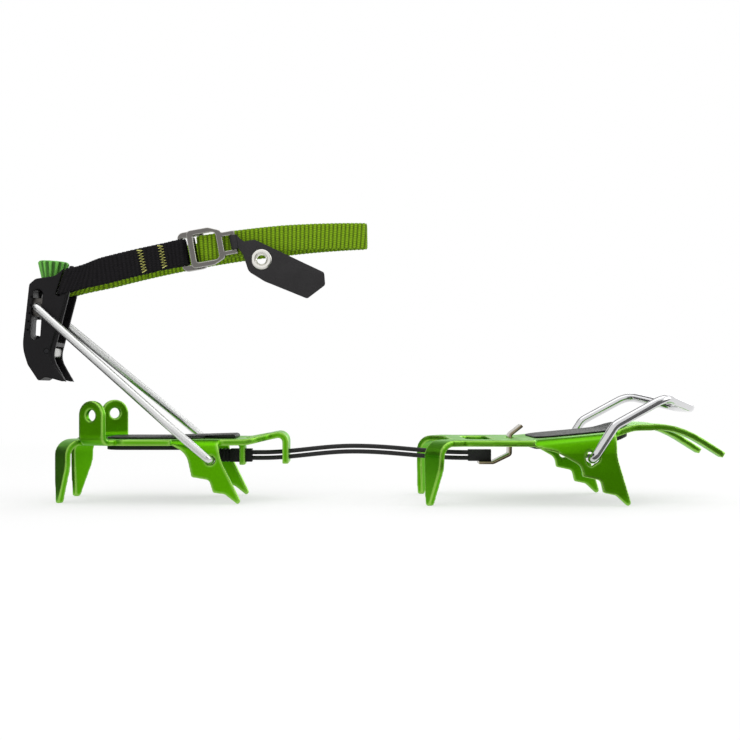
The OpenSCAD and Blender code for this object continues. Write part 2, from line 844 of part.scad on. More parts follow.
// Webbing along a plan path, standing on edge at the strap's height
module webbing(path) {
  n = len(path);
  half_h = webbing_w / 2 * 1.03;
  rings = [
    for (i = [0:n - 1])
      let (
        p = path[i],
        t = unit(path[min(n - 1, i + 1)] - path[max(0, i - 1)]),
        side = [-t[1], t[0], 0] * webbing_t / 2,
        x = max(p[0], strap_start_x),
        up = [strap_lean(p[0]), 0, 1] * half_h,
        c = [p[0], p[1], strap_height(x)]
      )
      each [c - side - up, c + side - up, c + side + up, c - side + up]
  ];
  sides = [for (i = [0:n - 2]) for (k = [0:3])
    let (a = 4 * i + k, b = 4 * i + (k + 1) % 4)
    each [[a, b, b + 4], [a, b + 4, a + 4]]];
  last = 4 * (n - 1);
  ends = [[2, 1, 0], [3, 2, 0], [last, last + 1, last + 2], [last, last + 2, last + 3]];
  polyhedron(rings, concat(sides, ends));
}

webbing_step = 6;
ply = webbing_t + 0.2;
bar_reach = wing_bar / 2 + loose_clear + webbing_t / 2;
outer_y = cheek_y + loose_clear + webbing_t / 2;
inner_y = channel_y - loose_clear - webbing_t / 2;
buckle_y = outer_y - 0.6;
loop_y = bar_d / 2 + loose_clear + webbing_t / 2;
eye_wall = 0.7;
eye_d = bar_d + 2 * run_clear + 2 * eye_wall;
hinge_u = loop_y + webbing_t / 2 + loose_clear + eye_d / 2;
front_u = hinge_u + eye_d / 2 + buckle_room + webbing_t / 2 + loop_y;

// Black strap: a flat loop from the lever's near wing to the buckle's rear bar
module strap_black() {
  path = dense(rounded_path([
    [buckle_x - 12, -outer_y + ply, 0],
    [buckle_x - 7, -outer_y + ply, 4],
    [buckle_x - 2, -buckle_y + loop_y, 3],
    [buckle_x + loop_y, -buckle_y + loop_y, loop_y * 0.9],
    [buckle_x + loop_y, -buckle_y - loop_y, loop_y * 0.9],
    [buckle_x - 2, -buckle_y - loop_y, 3],
    [buckle_x - 7, -outer_y, 3],
    [strap_start_x - bar_reach, -outer_y, 1.2],
    [strap_start_x - bar_reach, -inner_y, 1.2],
    [strap_start_x + bar_reach + 1, -inner_y, 2],
    [strap_start_x + 11, -outer_y + ply, 4],
    [buckle_x - 14, -outer_y + ply, 0]
  ], 4), webbing_step);
  color(soft_black)
    webbing(path);
}

// Green strap: from the lever's far wing round the front fold to the buckle's front bar
front_bar_x = buckle_x + front_u;
tail_x = -44;
module strap_green() {
  path = dense(rounded_path([
    [tail_x, -buckle_y + loop_y + 0.4, 0],
    [front_bar_x + 4, -buckle_y + loop_y, 4],
    [front_bar_x - loop_y, -buckle_y + loop_y, loop_y * 0.9],
    [front_bar_x - loop_y, -buckle_y - loop_y, loop_y * 0.9],
    [front_bar_x + 4, -buckle_y - loop_y, 4],
    [tail_x + 2, -buckle_y - 0.4, 30],
    [fold_x, -2.6, 2.2],
    [fold_x, 2.6, 2.2],
    [tail_x + 2, buckle_y - 1, 30],
    [buckle_x, outer_y + 0.6, 40],
    [strap_start_x - bar_reach, outer_y, 1.2],
    [strap_start_x - bar_reach, inner_y, 1.2],
    [strap_start_x + bar_reach + 1, inner_y, 2],
    [strap_start_x + 11, outer_y - ply, 4],
    [strap_start_x + 34, outer_y - ply, 0]
  ], 4), webbing_step);
  color(anodised_green)
    webbing(path);
}

// Bar tacks sewn through the two plies
tack_w = 2.2;
tack_t = 0.5;
tack_edge = 1.2;
tack_h = webbing_w - 2 * tack_edge;
tack_back = 9.6;
tack_pitch = 10;
tack_xs = [buckle_x - tack_back - tack_pitch, buckle_x - tack_back];
far_tack_run = 26;
far_tack_x = strap_start_x + far_tack_run;
module strap_bartacks() {
  color(thread_green) {
    for (x = tack_xs)
      translate([x, -outer_y - webbing_t / 2 - tack_t / 2, strap_height(x)])
        rotate([0, -atan(strap_grade(x)), 0])
          cube([tack_w, tack_t, tack_h], center = true);
    translate([far_tack_x, outer_y + webbing_t / 2 + tack_t / 2 + 0.4, strap_height(far_tack_x)])
      rotate([0, -atan(strap_grade(far_tack_x)), 0])
        cube([tack_w, tack_t, tack_h], center = true);
  }
}

// Buckle frame, in a frame of its own along the strap
buckle_h = 19.3;
buckle_corner_r = 3;
buckle_mid_x = buckle_x + front_u / 2;
buckle_tilt = atan(strap_grade(buckle_mid_x));
module buckle_place() {
  translate([buckle_x, -buckle_y, strap_height(buckle_x)])
    rotate([0, -buckle_tilt, 0])
      children();
}
module upright(u, l, d) {
  translate([u, 0, 0])
    cylinder(h = l, d = d, center = true);
}
module buckle_frame() {
  inner_h = webbing_w + 1;
  color(grey_steel)
    buckle_place() {
      for (u = [0, hinge_u, front_u])
        upright(u, inner_h + bar_d / 2, bar_d);
      along_y(bar_d)
        difference() {
          polygon(rounded([[-bar_d / 2, -buckle_h / 2, buckle_corner_r],
            [front_u + bar_d / 2, -buckle_h / 2, buckle_corner_r],
            [front_u + bar_d / 2, buckle_h / 2, buckle_corner_r],
            [-bar_d / 2, buckle_h / 2, buckle_corner_r]]));
          square([2 * far, inner_h], center = true);
        }
    }
}

// Release plate of the buckle: a barrel on the middle bar, a window for the webbing and a loop for the tab
tab_bar_d = 2;
tab_eye_wall = 0.9;
tab_eye_d = tab_bar_d + 2 * run_clear + 2 * tab_eye_wall;
slider_y = -loop_y - webbing_t / 2 - loose_clear - tab_eye_d / 2;
slider_t = 1.6;
slider_h = 18.6;
slider_bar = 2.8;
slider_end = 20.8;
slider_end_h = 13.4;
slider_slope = 6;
loop_end = 26.3;
loop_h = 11.3;
module buckle_slider() {
  window_h = webbing_w + 1;
  rear_u = hinge_u - slider_bar / 2;
  color(grey_steel)
    buckle_place() {
      difference() {
        union() {
          upright(hinge_u, webbing_w, eye_d);
          translate([rear_u, slider_y, -webbing_w / 2])
            cube([slider_bar, -slider_y, webbing_w]);
        }
        upright(hinge_u, far, bar_d + 2 * run_clear);
      }
      translate([0, slider_y, 0])
        along_y(slider_t)
          difference() {
            polygon(rounded([[rear_u, -slider_h / 2, 2], [slider_end - slider_slope, -slider_h / 2, 2],
              [slider_end, -slider_end_h / 2, 2], [slider_end, slider_end_h / 2, 2],
              [slider_end - slider_slope, slider_h / 2, 2], [rear_u, slider_h / 2, 2]]));
            polygon(rounded([[rear_u + slider_bar, -window_h / 2, 1],
              [slider_end - slider_bar, -window_h / 2, 2],
              [slider_end - slider_bar, window_h / 2, 2],
              [rear_u + slider_bar, window_h / 2, 1]]));
          }
      for (s = [-1, 1])
        translate([(slider_end + loop_end) / 2 - 0.5, slider_y, s * (loop_h / 2 - tab_bar_d / 2)])
          cube([loop_end - slider_end + 1, slider_t, tab_bar_d], center = true);
      translate([0, slider_y, 0])
        upright(loop_end, loop_h, tab_bar_d);
    }
}

// Pull tab: moulded eye on the slider's loop, and a broad grip with an eyelet
tab_neck_h = loop_h - 2 * tab_bar_d - 2 * loose_clear;
eyelet_at = [11.6, -10.8];
tab_outline = [
  [1.5, tab_neck_h / 2, 0],
  [4.6, -0.8, 2.5],
  [9.9, -0.6, 4],
  [13.5, -3.2, 4],
  [40.5, -22.4, 1.6],
  [39.9, -28.4, 1.6],
  [30.1, -33.4, 1.6],
  [11.1, -21.4, 3],
  [4.4, -15.4, 4],
  [3.2, -6.6, 3],
  [1.5, -tab_neck_h / 2, 0]
];
module tab_place() {
  buckle_place()
    translate([loop_end, slider_y - 0.4, 0])
      children();
}
module pull_tab() {
  barrel_d = eyelet_hole_d + 1.4;
  color(soft_black)
    buckle_place()
      translate([loop_end, slider_y, 0])
        difference() {
          union() {
            cylinder(h = tab_neck_h, d = tab_eye_d, center = true);
            translate([0, -0.4, 0])
              along_y(tab_t)
                polygon(rounded(tab_outline));
          }
          cylinder(h = far, d = tab_bar_d + 2 * run_clear, center = true);
          translate([eyelet_at[0], 0, eyelet_at[1]])
            rotate([90, 0, 0])
              cylinder(h = far, d = barrel_d, center = true);
        }
}
module tab_eyelet() {
  flange_t = 0.6;
  barrel_d = eyelet_hole_d + 1.4;
  color(bright_steel)
    tab_place()
      translate([eyelet_at[0], 0, eyelet_at[1]])
        rotate([90, 0, 0])
          difference() {
            union() {
              cylinder(h = tab_t, d = barrel_d, center = true);
              for (s = [-1, 1])
                translate([0, 0, s * (tab_t + flange_t) / 2])
                  cylinder(h = flange_t, d = eyelet_d, center = true);
            }
            cylinder(h = far, d = eyelet_hole_d, center = true);
          }
}

// Link: twin coated cables with a steel hook at the front plate
ferrule_x = 49;
ferrule_l = 11.4;
cable_rear_x = -73;
cable_front_x = ferrule_x + ferrule_l - 1.5;
cable_sides = 8;
cable_step = 4.5;
module cable(off) {
  n = round((cable_front_x - cable_rear_x) / cable_step);
  step = (cable_front_x - cable_rear_x) / n;
  rings = [
    for (i = [0:n])
      let (
        x = cable_rear_x + step * i,
        grade = (cable_height(x + 0.5) - cable_height(x - 0.5))
      )
      for (k = [0:cable_sides - 1])
        let (a = 360 * (k + 0.5) / cable_sides)
        [x - grade * sin(a) * cable_d / 2, cos(a) * cable_d / 2, off + cable_height(x) + sin(a) * cable_d / 2]
  ];
  m = cable_sides;
  sides = [for (i = [0:n - 1]) for (k = [0:m - 1])
    let (a = m * i + k, b = m * i + (k + 1) % m)
    each [[a, b + m, b], [a, a + m, b + m]]];
  ends = [for (k = [1:m - 2]) each [[0, k, k + 1], [m * n, m * n + k + 1, m * n + k]]];
  polyhedron(rings, concat(sides, ends));
}
module link_cables() {
  color(soft_black)
    for (s = [-1, 1])
      cable(s * cable_gap / 2);
}

// Sleeve on the cable ends, seated on the hook
ferrule_w = 3.6;
ferrule_h = cable_gap + cable_d + 0.8;
module link_ferrule() {
  color(soft_black)
    difference() {
      translate([ferrule_x, -ferrule_w / 2, cable_z - ferrule_h / 2])
        cube([ferrule_l, ferrule_w, ferrule_h]);
      for (s = [-1, 1])
        translate([ferrule_x - 1, 0, cable_z + s * cable_gap / 2])
          rotate([0, 90, 0])
            cylinder(h = ferrule_l, d = cable_d + 2 * run_clear);
    }
}

// Hook of bent sheet: under the sleeve, up a slope, through the plate's slot and over the top
hook_seat = 6.6;
hook_slope = 26;
hook_run = 8;
hook_rise_r = 2.4;
hook_over = 0.5;
hook_top_turn = 52;
hook_top_l = 6.5;
module link_hook() {
  low = cable_z - ferrule_h / 2 - hook_t;
  face_x = hook_slot_x + loose_clear;
  start_x = face_x - hook_rise_r - hook_run * cos(hook_slope) - hook_seat;
  slope_top = low + hook_rise_r + hook_run * sin(hook_slope);
  steps = [
    [hook_seat, hook_slope, hook_rise_r],
    [hook_run, 90 - hook_slope, hook_rise_r],
    [deck_top + hook_over - slope_top, -hook_top_turn, 1.2],
    [hook_top_l, 0, 0]
  ];
  color(bright_steel)
    along_y(hook_w)
      polygon(bent_strip(steps, 0, hook_t, [start_x, low]));
}

// Adjuster block behind the heel plate's lug, with its bush and the cables' tail stop
adjuster_w = 9;
adjuster_h = cable_gap + cable_d + 1.4;
module cable_block(x, l, w, h) {
  difference() {
    translate([x, -w / 2, cable_height(x) - h / 2])
      cube([l, w, h]);
    cable_slot(x + l / 2, 0, 2 * l);
  }
}
module cable_adjuster() {
  color(soft_black)
    cable_block(lug_x - plate_t - 4.6, 4.6, adjuster_w, adjuster_h);
}
module cable_bush() {
  color(soft_black)
    cable_block(lug_x, 3.2, 7, adjuster_h);
}
module cable_tail_stop() {
  stop_l = 5.6;
  ribs = 3;
  rib_h = 0.3;
  pitch = stop_l / ribs;
  front_x = lug_x - plate_t - 4.6 - 0.1;
  color(soft_black)
    difference() {
      union() {
        translate([front_x - stop_l, -2.4, cable_z - adjuster_h / 2 + rib_h])
          cube([stop_l, 4.8, adjuster_h - 2 * rib_h]);
        for (i = [1:ribs])
          translate([front_x - pitch * i, -3.2, cable_z - adjuster_h / 2])
            cube([pitch * 0.6, 6.4, adjuster_h]);
      }
      for (s = [-1, 1])
        translate([cable_rear_x, 0, cable_z + s * cable_gap / 2])
          rotate([0, 90, 0])
            cylinder(h = stop_l, d = cable_d + 2 * run_clear);
    }
}

heel_plate();
front_plate();
heel_antiball_plate();
front_antiball_plate();
toe_bail();
heel_bail();
link_cables();
link_hook();
link_ferrule();
cable_bush();
cable_adjuster();
cable_tail_stop();
heel_lever();
bail_carriage();
adjuster_screw();
adjuster_knob();
hook_pad();
hook_pad_pin();
strap_black();
strap_green();
strap_bartacks();
buckle_frame();
buckle_slider();
pull_tab();
tab_eyelet();
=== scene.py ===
import json
import math

import bpy
import numpy
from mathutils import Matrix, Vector


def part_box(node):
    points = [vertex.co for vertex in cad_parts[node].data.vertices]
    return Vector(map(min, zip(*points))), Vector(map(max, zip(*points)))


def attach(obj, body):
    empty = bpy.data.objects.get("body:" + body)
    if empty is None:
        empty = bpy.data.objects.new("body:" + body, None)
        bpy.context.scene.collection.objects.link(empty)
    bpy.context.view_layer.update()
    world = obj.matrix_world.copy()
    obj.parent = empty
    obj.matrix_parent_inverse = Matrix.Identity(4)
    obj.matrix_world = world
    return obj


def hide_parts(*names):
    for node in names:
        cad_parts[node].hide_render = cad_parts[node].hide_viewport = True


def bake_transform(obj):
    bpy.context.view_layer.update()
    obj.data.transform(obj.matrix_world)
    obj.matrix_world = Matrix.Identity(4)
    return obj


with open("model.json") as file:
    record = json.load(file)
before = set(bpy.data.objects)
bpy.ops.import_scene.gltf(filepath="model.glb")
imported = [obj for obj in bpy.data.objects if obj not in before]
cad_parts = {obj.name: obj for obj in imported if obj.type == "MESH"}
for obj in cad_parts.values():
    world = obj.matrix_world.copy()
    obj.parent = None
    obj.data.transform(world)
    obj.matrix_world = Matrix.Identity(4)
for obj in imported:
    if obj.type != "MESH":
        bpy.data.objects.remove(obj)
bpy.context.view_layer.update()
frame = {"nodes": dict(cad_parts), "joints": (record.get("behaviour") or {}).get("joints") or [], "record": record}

bl_info = {
    "name": "Crampon dresser",
    "version": (1, 0, 0),
    "blender": (4, 5, 0),
    "location": "View3D > Sidebar > Crampon",
    "description": "Finishes a mountaineering crampon: plates, bails, link, lever, strap and buckle",
    "category": "Object",
}

MM = 0.001
RECORD = frame["record"]
BODY_OF = {node: body for body, nodes in RECORD["behaviour"]["bodies"].items() for node in nodes}
JOINT = {row["name"]: row for row in frame["joints"]}


# Sizes and colours that a user would change


def colour(name, text, value):
    return bpy.props.FloatVectorProperty(
        name=name, description=text, default=value, size=3, min=0.0, max=1.0, subtype="COLOR"
    )


def length(name, text, value):
    return bpy.props.FloatProperty(
        name=name, description=text, default=value, min=0.0, precision=5, unit="LENGTH", subtype="DISTANCE"
    )


class CRAMPON_PG_colours(bpy.types.PropertyGroup):
    """Colours of the finishes"""

    plate_green: colour("Plate green", "Anodised green of the plates", (0.1, 0.4, 0.002))
    # The plates' paler edge green is partly wear and partly a painted highlight along edges and bends.
    edge_wear_and_highlight_green: colour("Edge green", "Paler green of the plates' worn edges", (0.29, 0.58, 0.09))
    # The snow plates' black holds a slight green tint, a painted reflection of the green plates.
    snow_black_green_reflection: colour("Snow plate", "Black of the snow-shedding plates", (0.010, 0.013, 0.009))
    moulding_black: colour("Moulding", "Black of the lever and the cable blocks", (0.0046, 0.0041, 0.005))
    knob_green: colour("Knob", "Green of the adjusting knob", (0.13, 0.43, 0.06))
    wire_bright: colour("Bright wire", "Polished steel of the toe bail", (0.66, 0.66, 0.67))
    wire_satin: colour("Satin wire", "Satin steel of the heel bail", (0.72, 0.725, 0.72))
    buckle_grey: colour("Buckle", "Dark satin steel of the buckle", (0.16, 0.152, 0.143))
    # The buckle's pale edge colour is partly polish and partly a painted highlight.
    buckle_polish_and_highlight: colour("Buckle edge", "Polished edges of the buckle", (0.62, 0.6, 0.57))
    hook_steel: colour("Hook", "Plated sheet steel of the link hook", (0.24, 0.2, 0.12))
    cable_black: colour("Cable", "Coating of the link cables", (0.014, 0.014, 0.014))
    webbing_green: colour("Green webbing", "Yarn of the green strap", (0.165, 0.305, 0.004))
    webbing_black: colour("Black webbing", "Yarn of the black strap", (0.0055, 0.0048, 0.0058))
    tack_thread: colour("Tack thread", "Thread of the bar tacks", (0.66, 0.66, 0.2))
    tab_black: colour("Pull tab", "Rubber of the pull tab", (0.02, 0.019, 0.02))
    pin_dark: colour("Pin", "Burnished steel of the hook pad's pin", (0.03, 0.03, 0.032))
    carriage_dark: colour("Carriage", "Burnished steel of the bail carriage", (0.1, 0.094, 0.088))
    pad_steel: colour("Hook pad", "Ground steel of the hook pad", (0.52, 0.52, 0.5))
    eyelet_steel: colour("Eyelet", "Plated brass of the tab's eyelet", (0.78, 0.77, 0.72))


class CRAMPON_PG_sizes(bpy.types.PropertyGroup):
    """Sizes of the details"""

    plate_grain: length("Plate softness", "Fineness at which the plates' cut edges are softened", 0.48 * MM)
    lever_grain: length("Lever softness", "Fineness at which the lever's edges are softened", 0.34 * MM)
    buckle_grain: length("Buckle softness", "Fineness at which the buckle's edges are softened", 0.17 * MM)
    moulding_round: length("Moulding radius", "Rounding of the snow-shedding plates", 0.5 * MM)
    fitting_round: length("Fitting radius", "Rounding of the small fittings", 0.22 * MM)
    rib_pitch: length("Rib pitch", "Distance between the ribs along the webbing", 2.05 * MM)
    yarn_pitch: length("Yarn pitch", "Distance between the yarns across the webbing", 1.1 * MM)
    rib_height: length("Rib height", "Height of the ribs of the webbing", 0.34 * MM)
    thread_d: length("Thread", "Diameter of the sewing thread", 0.62 * MM)
    cable_d: length("Cable", "Diameter of a coated link cable", 2.2 * MM)


def colours():
    return bpy.context.scene.crampon_colours


def sizes():
    return bpy.context.scene.crampon_sizes


# Shared steps of modelling

MERGE = 0.06 * MM
FLAT_ANGLE = math.radians(0.8)
WEAR_AND_HIGHLIGHT_BLURS = 3
LEAST_SQUARE = 1e-14


def unit(value):
    """A value held between 0 and 1."""
    return max(0.0, min(1.0, value))


def ease(value, start, end):
    """0 before start, 1 after end, and a smooth change between."""
    f = unit((value - start) / (end - start))
    return f * f * (3 - 2 * f)


def active():
    return bpy.context.view_layer.objects.active


def pick(piece):
    """Makes a piece the only one that operators act on."""
    if bpy.context.object and bpy.context.object.mode != "OBJECT":
        bpy.ops.object.mode_set(mode="OBJECT")
    bpy.ops.object.select_all(action="DESELECT")
    piece.select_set(True)
    bpy.context.view_layer.objects.active = piece


def joined(pieces, name):
    """Joins pieces into the first of them and names it."""
    pick(pieces[0])
    for other in pieces[1:]:
        other.select_set(True)
    bpy.ops.object.join()
    active().name = name
    return active()


def face_outwards(piece, merge=None):
    """Points a piece's faces outwards, once its points closer than merge are one."""
    pick(piece)
    bpy.ops.object.mode_set(mode="EDIT")
    bpy.ops.mesh.select_all(action="SELECT")
    if merge:
        bpy.ops.mesh.remove_doubles(threshold=merge)
    bpy.ops.mesh.normals_make_consistent(inside=False)
    bpy.ops.object.mode_set(mode="OBJECT")


def write_attribute(piece, name, values):
    """Keeps one number for each vertex, for the piece's finish to read."""
    piece.data.attributes.new(name, "FLOAT", "POINT").data.foreach_set("value", values)


def read_rows(items, key, width, kind=float):
    """A mesh's values as an array with one row for each item."""
    values = numpy.empty(width * len(items), dtype=kind)
    items.foreach_get(key, values)
    return values.reshape(-1, width)


def apply_modifier(piece, kind, **settings):
    pick(piece)
    modifier = piece.modifiers.new(kind.title(), kind)
    for key, value in settings.items():
        setattr(modifier, key, value)
    bpy.ops.object.modifier_apply(modifier=modifier.name)


def node_copy(node, name):
    """A merged copy of a node's mesh, with its flat faces whole again."""
    source = frame["nodes"][node]
    source.hide_viewport = False
    pick(source)
    bpy.ops.object.duplicate()
    piece = active()
    piece.parent = None
    for key in [k for k in piece.keys() if k.startswith("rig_")]:
        del piece[key]
    piece.name = name
    piece.data.name = name
    piece.data.materials.clear()
    bpy.ops.object.mode_set(mode="EDIT")
    bpy.ops.mesh.select_all(action="SELECT")
    bpy.ops.mesh.remove_doubles(threshold=MERGE)
    bpy.ops.mesh.customdata_custom_splitnormals_clear()
    bpy.ops.mesh.dissolve_limited(angle_limit=FLAT_ANGLE)
    bpy.ops.object.mode_set(mode="OBJECT")
    return piece


def round_edges(piece, radius, steps=2, sharper_than=33, clamp=False):
    apply_modifier(
        piece, "BEVEL", width=radius, segments=steps, limit_method="ANGLE",
        angle_limit=math.radians(sharper_than), use_clamp_overlap=clamp, profile=0.6, harden_normals=False,
    )


def smooth(piece, angle=32):
    pick(piece)
    bpy.ops.object.shade_smooth_by_angle(angle=math.radians(angle))


def settle(piece, node, finish):
    """Gives a piece its finish and its body, and hides the node that it stands for."""
    piece.data.materials.clear()
    piece.data.materials.append(finish)
    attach(piece, BODY_OF[node])
    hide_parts(node)


def dress(node, name, finish, radius, clamp=False):
    """A copy of a node with bevelled edges."""
    piece = node_copy(node, name)
    round_edges(piece, radius, clamp=clamp)
    smooth(piece)
    settle(piece, node, finish)


def soften(piece, grain):
    """Wears every edge of a piece round, where its outline is too fine to bevel."""
    apply_modifier(piece, "REMESH", mode="VOXEL", voxel_size=grain)
    apply_modifier(piece, "SMOOTH", factor=0.5, iterations=4)
    smooth(piece, angle=60)
    return piece


def mark_edges(piece, flat, sharp):
    """Writes the attribute that marks edges and bends, for wear and a painted highlight: 0 up to the flat
    curvature, in 1/m outwards, and 1 from the sharp one.
    """
    mesh = piece.data
    places = read_rows(mesh.vertices, "co", 3)
    normals = read_rows(mesh.vertices, "normal", 3)
    ends = read_rows(mesh.edges, "vertices", 2, numpy.int64)
    a, b = ends[:, 0], ends[:, 1]

    def gathered(at_a, at_b):
        return numpy.bincount(a, at_a, len(places)) + numpy.bincount(b, at_b, len(places))

    step = places[b] - places[a]
    square = numpy.maximum((step * step).sum(axis=1), LEAST_SQUARE)
    bend = ((normals[b] - normals[a]) * step).sum(axis=1) / square
    count = numpy.maximum(numpy.bincount(ends.ravel(), minlength=len(places)), 1)
    wear_and_highlight = gathered(bend, bend) / count
    for _ in range(WEAR_AND_HIGHLIGHT_BLURS):
        wear_and_highlight = 0.5 * wear_and_highlight + 0.5 * gathered(wear_and_highlight[b], wear_and_highlight[a]) / count
    write_attribute(piece, "wear_and_highlight", numpy.clip((wear_and_highlight - flat) / (sharp - flat), 0.0, 1.0))
    return piece


# Finishes

NOISE_LOW, NOISE_HIGH = 0.3, 0.7
MIX_FACTOR, MIX_COLOUR_A, MIX_COLOUR_B, MIX_COLOUR_OUT = 0, 6, 7, 2


class Finish:
    """A material built up on Object coordinates, or on a piece's own UV map."""

    def __init__(self, name, base, metallic, roughness, where="Object"):
        self.material = bpy.data.materials.new(name)
        self.material.use_nodes = True
        self.material.diffuse_color = (*base, 1.0)
        self.tree = self.material.node_tree
        self.shader = self.tree.nodes["Principled BSDF"]
        self.shader.inputs["Base Color"].default_value = (*base, 1.0)
        self.shader.inputs["Metallic"].default_value = metallic
        self.shader.inputs["Roughness"].default_value = roughness
        self.base = base
        self.coords = self.tree.nodes.new("ShaderNodeTexCoord").outputs[where]

    def link(self, a, b):
        self.tree.links.new(a, b)

    def node(self, kind, **settings):
        made = self.tree.nodes.new(kind)
        for key, value in settings.items():
            setattr(made, key, value)
        return made

    def attribute(self, name):
        return self.node("ShaderNodeAttribute", attribute_name=name).outputs["Fac"]

    def noise(self, scale, detail=2.0, stretch=(1.0, 1.0, 1.0)):
        made = self.node("ShaderNodeTexNoise")
        made.inputs["Scale"].default_value = scale
        made.inputs["Detail"].default_value = detail
        mapping = self.node("ShaderNodeMapping")
        mapping.inputs["Scale"].default_value = stretch
        self.link(self.coords, mapping.inputs["Vector"])
        self.link(mapping.outputs["Vector"], made.inputs["Vector"])
        return made.outputs["Fac"]

    def shade(self, source, dark, light):
        """Base colour from dark to light along a 0 to 1 source."""
        ramp = self.node("ShaderNodeValToRGB")
        ramp.color_ramp.elements[0].color = (*[c * dark for c in self.base], 1.0)
        ramp.color_ramp.elements[1].color = (*[min(1.0, c * light) for c in self.base], 1.0)
        self.link(source, ramp.inputs["Fac"])
        self.link(ramp.outputs["Color"], self.shader.inputs["Base Color"])

    def roughen(self, source, low, high):
        """Roughness from low to high along the range that most of a noise lies in."""
        made = self.node("ShaderNodeMapRange")
        made.inputs["From Min"].default_value = NOISE_LOW
        made.inputs["From Max"].default_value = NOISE_HIGH
        made.inputs["To Min"].default_value = low
        made.inputs["To Max"].default_value = high
        self.link(source, made.inputs["Value"])
        self.link(made.outputs["Result"], self.shader.inputs["Roughness"])

    def bump(self, source, depth, strength):
        made = self.node("ShaderNodeBump")
        made.inputs["Distance"].default_value = depth
        made.inputs["Strength"].default_value = strength
        self.link(source, made.inputs["Height"])
        self.link(made.outputs["Normal"], self.shader.inputs["Normal"])

    def worn_and_highlit(self, bright):
        """Lays a brighter colour over the base where the edge attribute marks an edge or bend: partly wear, partly
        a painted highlight.
        """
        mix = self.node("ShaderNodeMix", data_type="RGBA")
        socket = self.shader.inputs["Base Color"]
        self.link(self.attribute("wear_and_highlight"), mix.inputs[MIX_FACTOR])
        self.link(socket.links[0].from_socket, mix.inputs[MIX_COLOUR_A])
        mix.inputs[MIX_COLOUR_B].default_value = (*bright, 1.0)
        self.link(mix.outputs[MIX_COLOUR_OUT], socket)

    def set(self, **values):
        for key, value in values.items():
            self.shader.inputs[key.replace("_", " ")].default_value = value


def anodised(name, base, edge):
    f = Finish(name, base, metallic=1.0, roughness=0.36)
    f.shade(f.noise(1600.0, detail=3.0), dark=0.82, light=1.16)
    f.roughen(f.noise(90.0, detail=3.0), low=0.29, high=0.4)
    f.bump(f.noise(4200.0, detail=1.0), depth=0.02 * MM, strength=0.2)
    # Paler edges and bends: partly wear, partly a painted highlight.
    f.worn_and_highlit(edge)
    f.set(Specular_Tint=(0.85, 1.0, 0.75, 1.0))
    return f.material


def moulded(name, base, grain=2600.0, roughness=(0.42, 0.56), gloss=0.22):
    f = Finish(name, base, metallic=0.0, roughness=roughness[0])
    f.shade(f.noise(120.0, detail=3.0), dark=0.85, light=1.25)
    f.roughen(f.noise(500.0), *roughness)
    f.bump(f.noise(grain), depth=0.03 * MM, strength=0.6)
    f.set(Specular_IOR_Level=gloss)
    return f.material


def ribs_with_painted_shade(name, base):
    """Moulded ribs, with painted shade down in the grooves."""
    f = Finish(name, base, metallic=0.0, roughness=0.4)
    f.shade(f.attribute("rise"), dark=0.3, light=1.15)
    f.roughen(f.noise(500.0), low=0.34, high=0.48)
    f.bump(f.noise(1800.0), depth=0.03 * MM, strength=0.6)
    f.set(Specular_IOR_Level=0.3)
    return f.material


def drawn_steel(name, base, roughness, edge=None):
    f = Finish(name, base, metallic=1.0, roughness=roughness[0])
    f.shade(f.noise(90.0), dark=0.94, light=1.05)
    # Optional paler edges: wear or polish, and a painted highlight.
    if edge is not None:
        f.worn_and_highlit(edge)
    f.roughen(f.noise(1400.0, detail=3.0), *roughness)
    f.bump(f.noise(3000.0), depth=0.006 * MM, strength=0.15)
    return f.material


def woven(name, base, dark, light, sheen):
    """Yarn colour with painted shade in the hollows of the weave and painted light on its crests, with fine fibres
    along the yarns.
    """
    f = Finish(name, base, metallic=0.0, roughness=0.72, where="UV")
    f.shade(f.attribute("rise"), dark, light)
    f.roughen(f.noise(700.0), low=0.62, high=0.8)
    f.bump(f.noise(2600.0, stretch=(0.25, 1.0, 1.0)), depth=0.06 * MM, strength=0.7)
    f.set(Sheen_Weight=sheen, Sheen_Roughness=0.5, Specular_IOR_Level=0.15)
    return f.material


def thread_finish(name, base):
    f = Finish(name, base, metallic=0.0, roughness=0.6)
    f.shade(f.noise(1500.0), dark=0.7, light=1.25)
    f.bump(f.noise(3500.0, detail=1.0), depth=0.04 * MM, strength=0.6)
    return f.material


# Plates: the rise of the front deck by x, the bands in which it fades at the flanges, and the curvatures between
# which edges turn paler, as wear and a painted highlight

DECK_RISE = ((76, 0.0), (102, 2.4), (118, 3.9), (126, 4.1), (134, 2.3), (142, 1.3), (156, -0.4), (172, -1.4))
FLANGE_Y = (27.0, 33.0)
FLANGE_Z = (25.0, 29.0)
PLATE_WEAR_AND_HIGHLIGHT = (80.0, 480.0)


def deck_rise(x):
    """Smooth rise in millimetres of the front deck over its plain solid at x."""
    first, last = DECK_RISE[0], DECK_RISE[-1]
    if x <= first[0]:
        return first[1]
    if x >= last[0]:
        return last[1]
    k = max(i for i, row in enumerate(DECK_RISE) if row[0] <= x)
    before, here, ahead, after = [DECK_RISE[max(0, min(len(DECK_RISE) - 1, k + i))] for i in (-1, 0, 1, 2)]
    width = ahead[0] - here[0]
    f = (x - here[0]) / width
    start = (ahead[1] - before[1]) / (ahead[0] - before[0]) * width
    end = (after[1] - here[1]) / (after[0] - here[0]) * width
    return (
        (2 * f ** 3 - 3 * f ** 2 + 1) * here[1] + (f ** 3 - 2 * f ** 2 + f) * start
        + (3 * f ** 2 - 2 * f ** 3) * ahead[1] + (f ** 3 - f ** 2) * end
    )


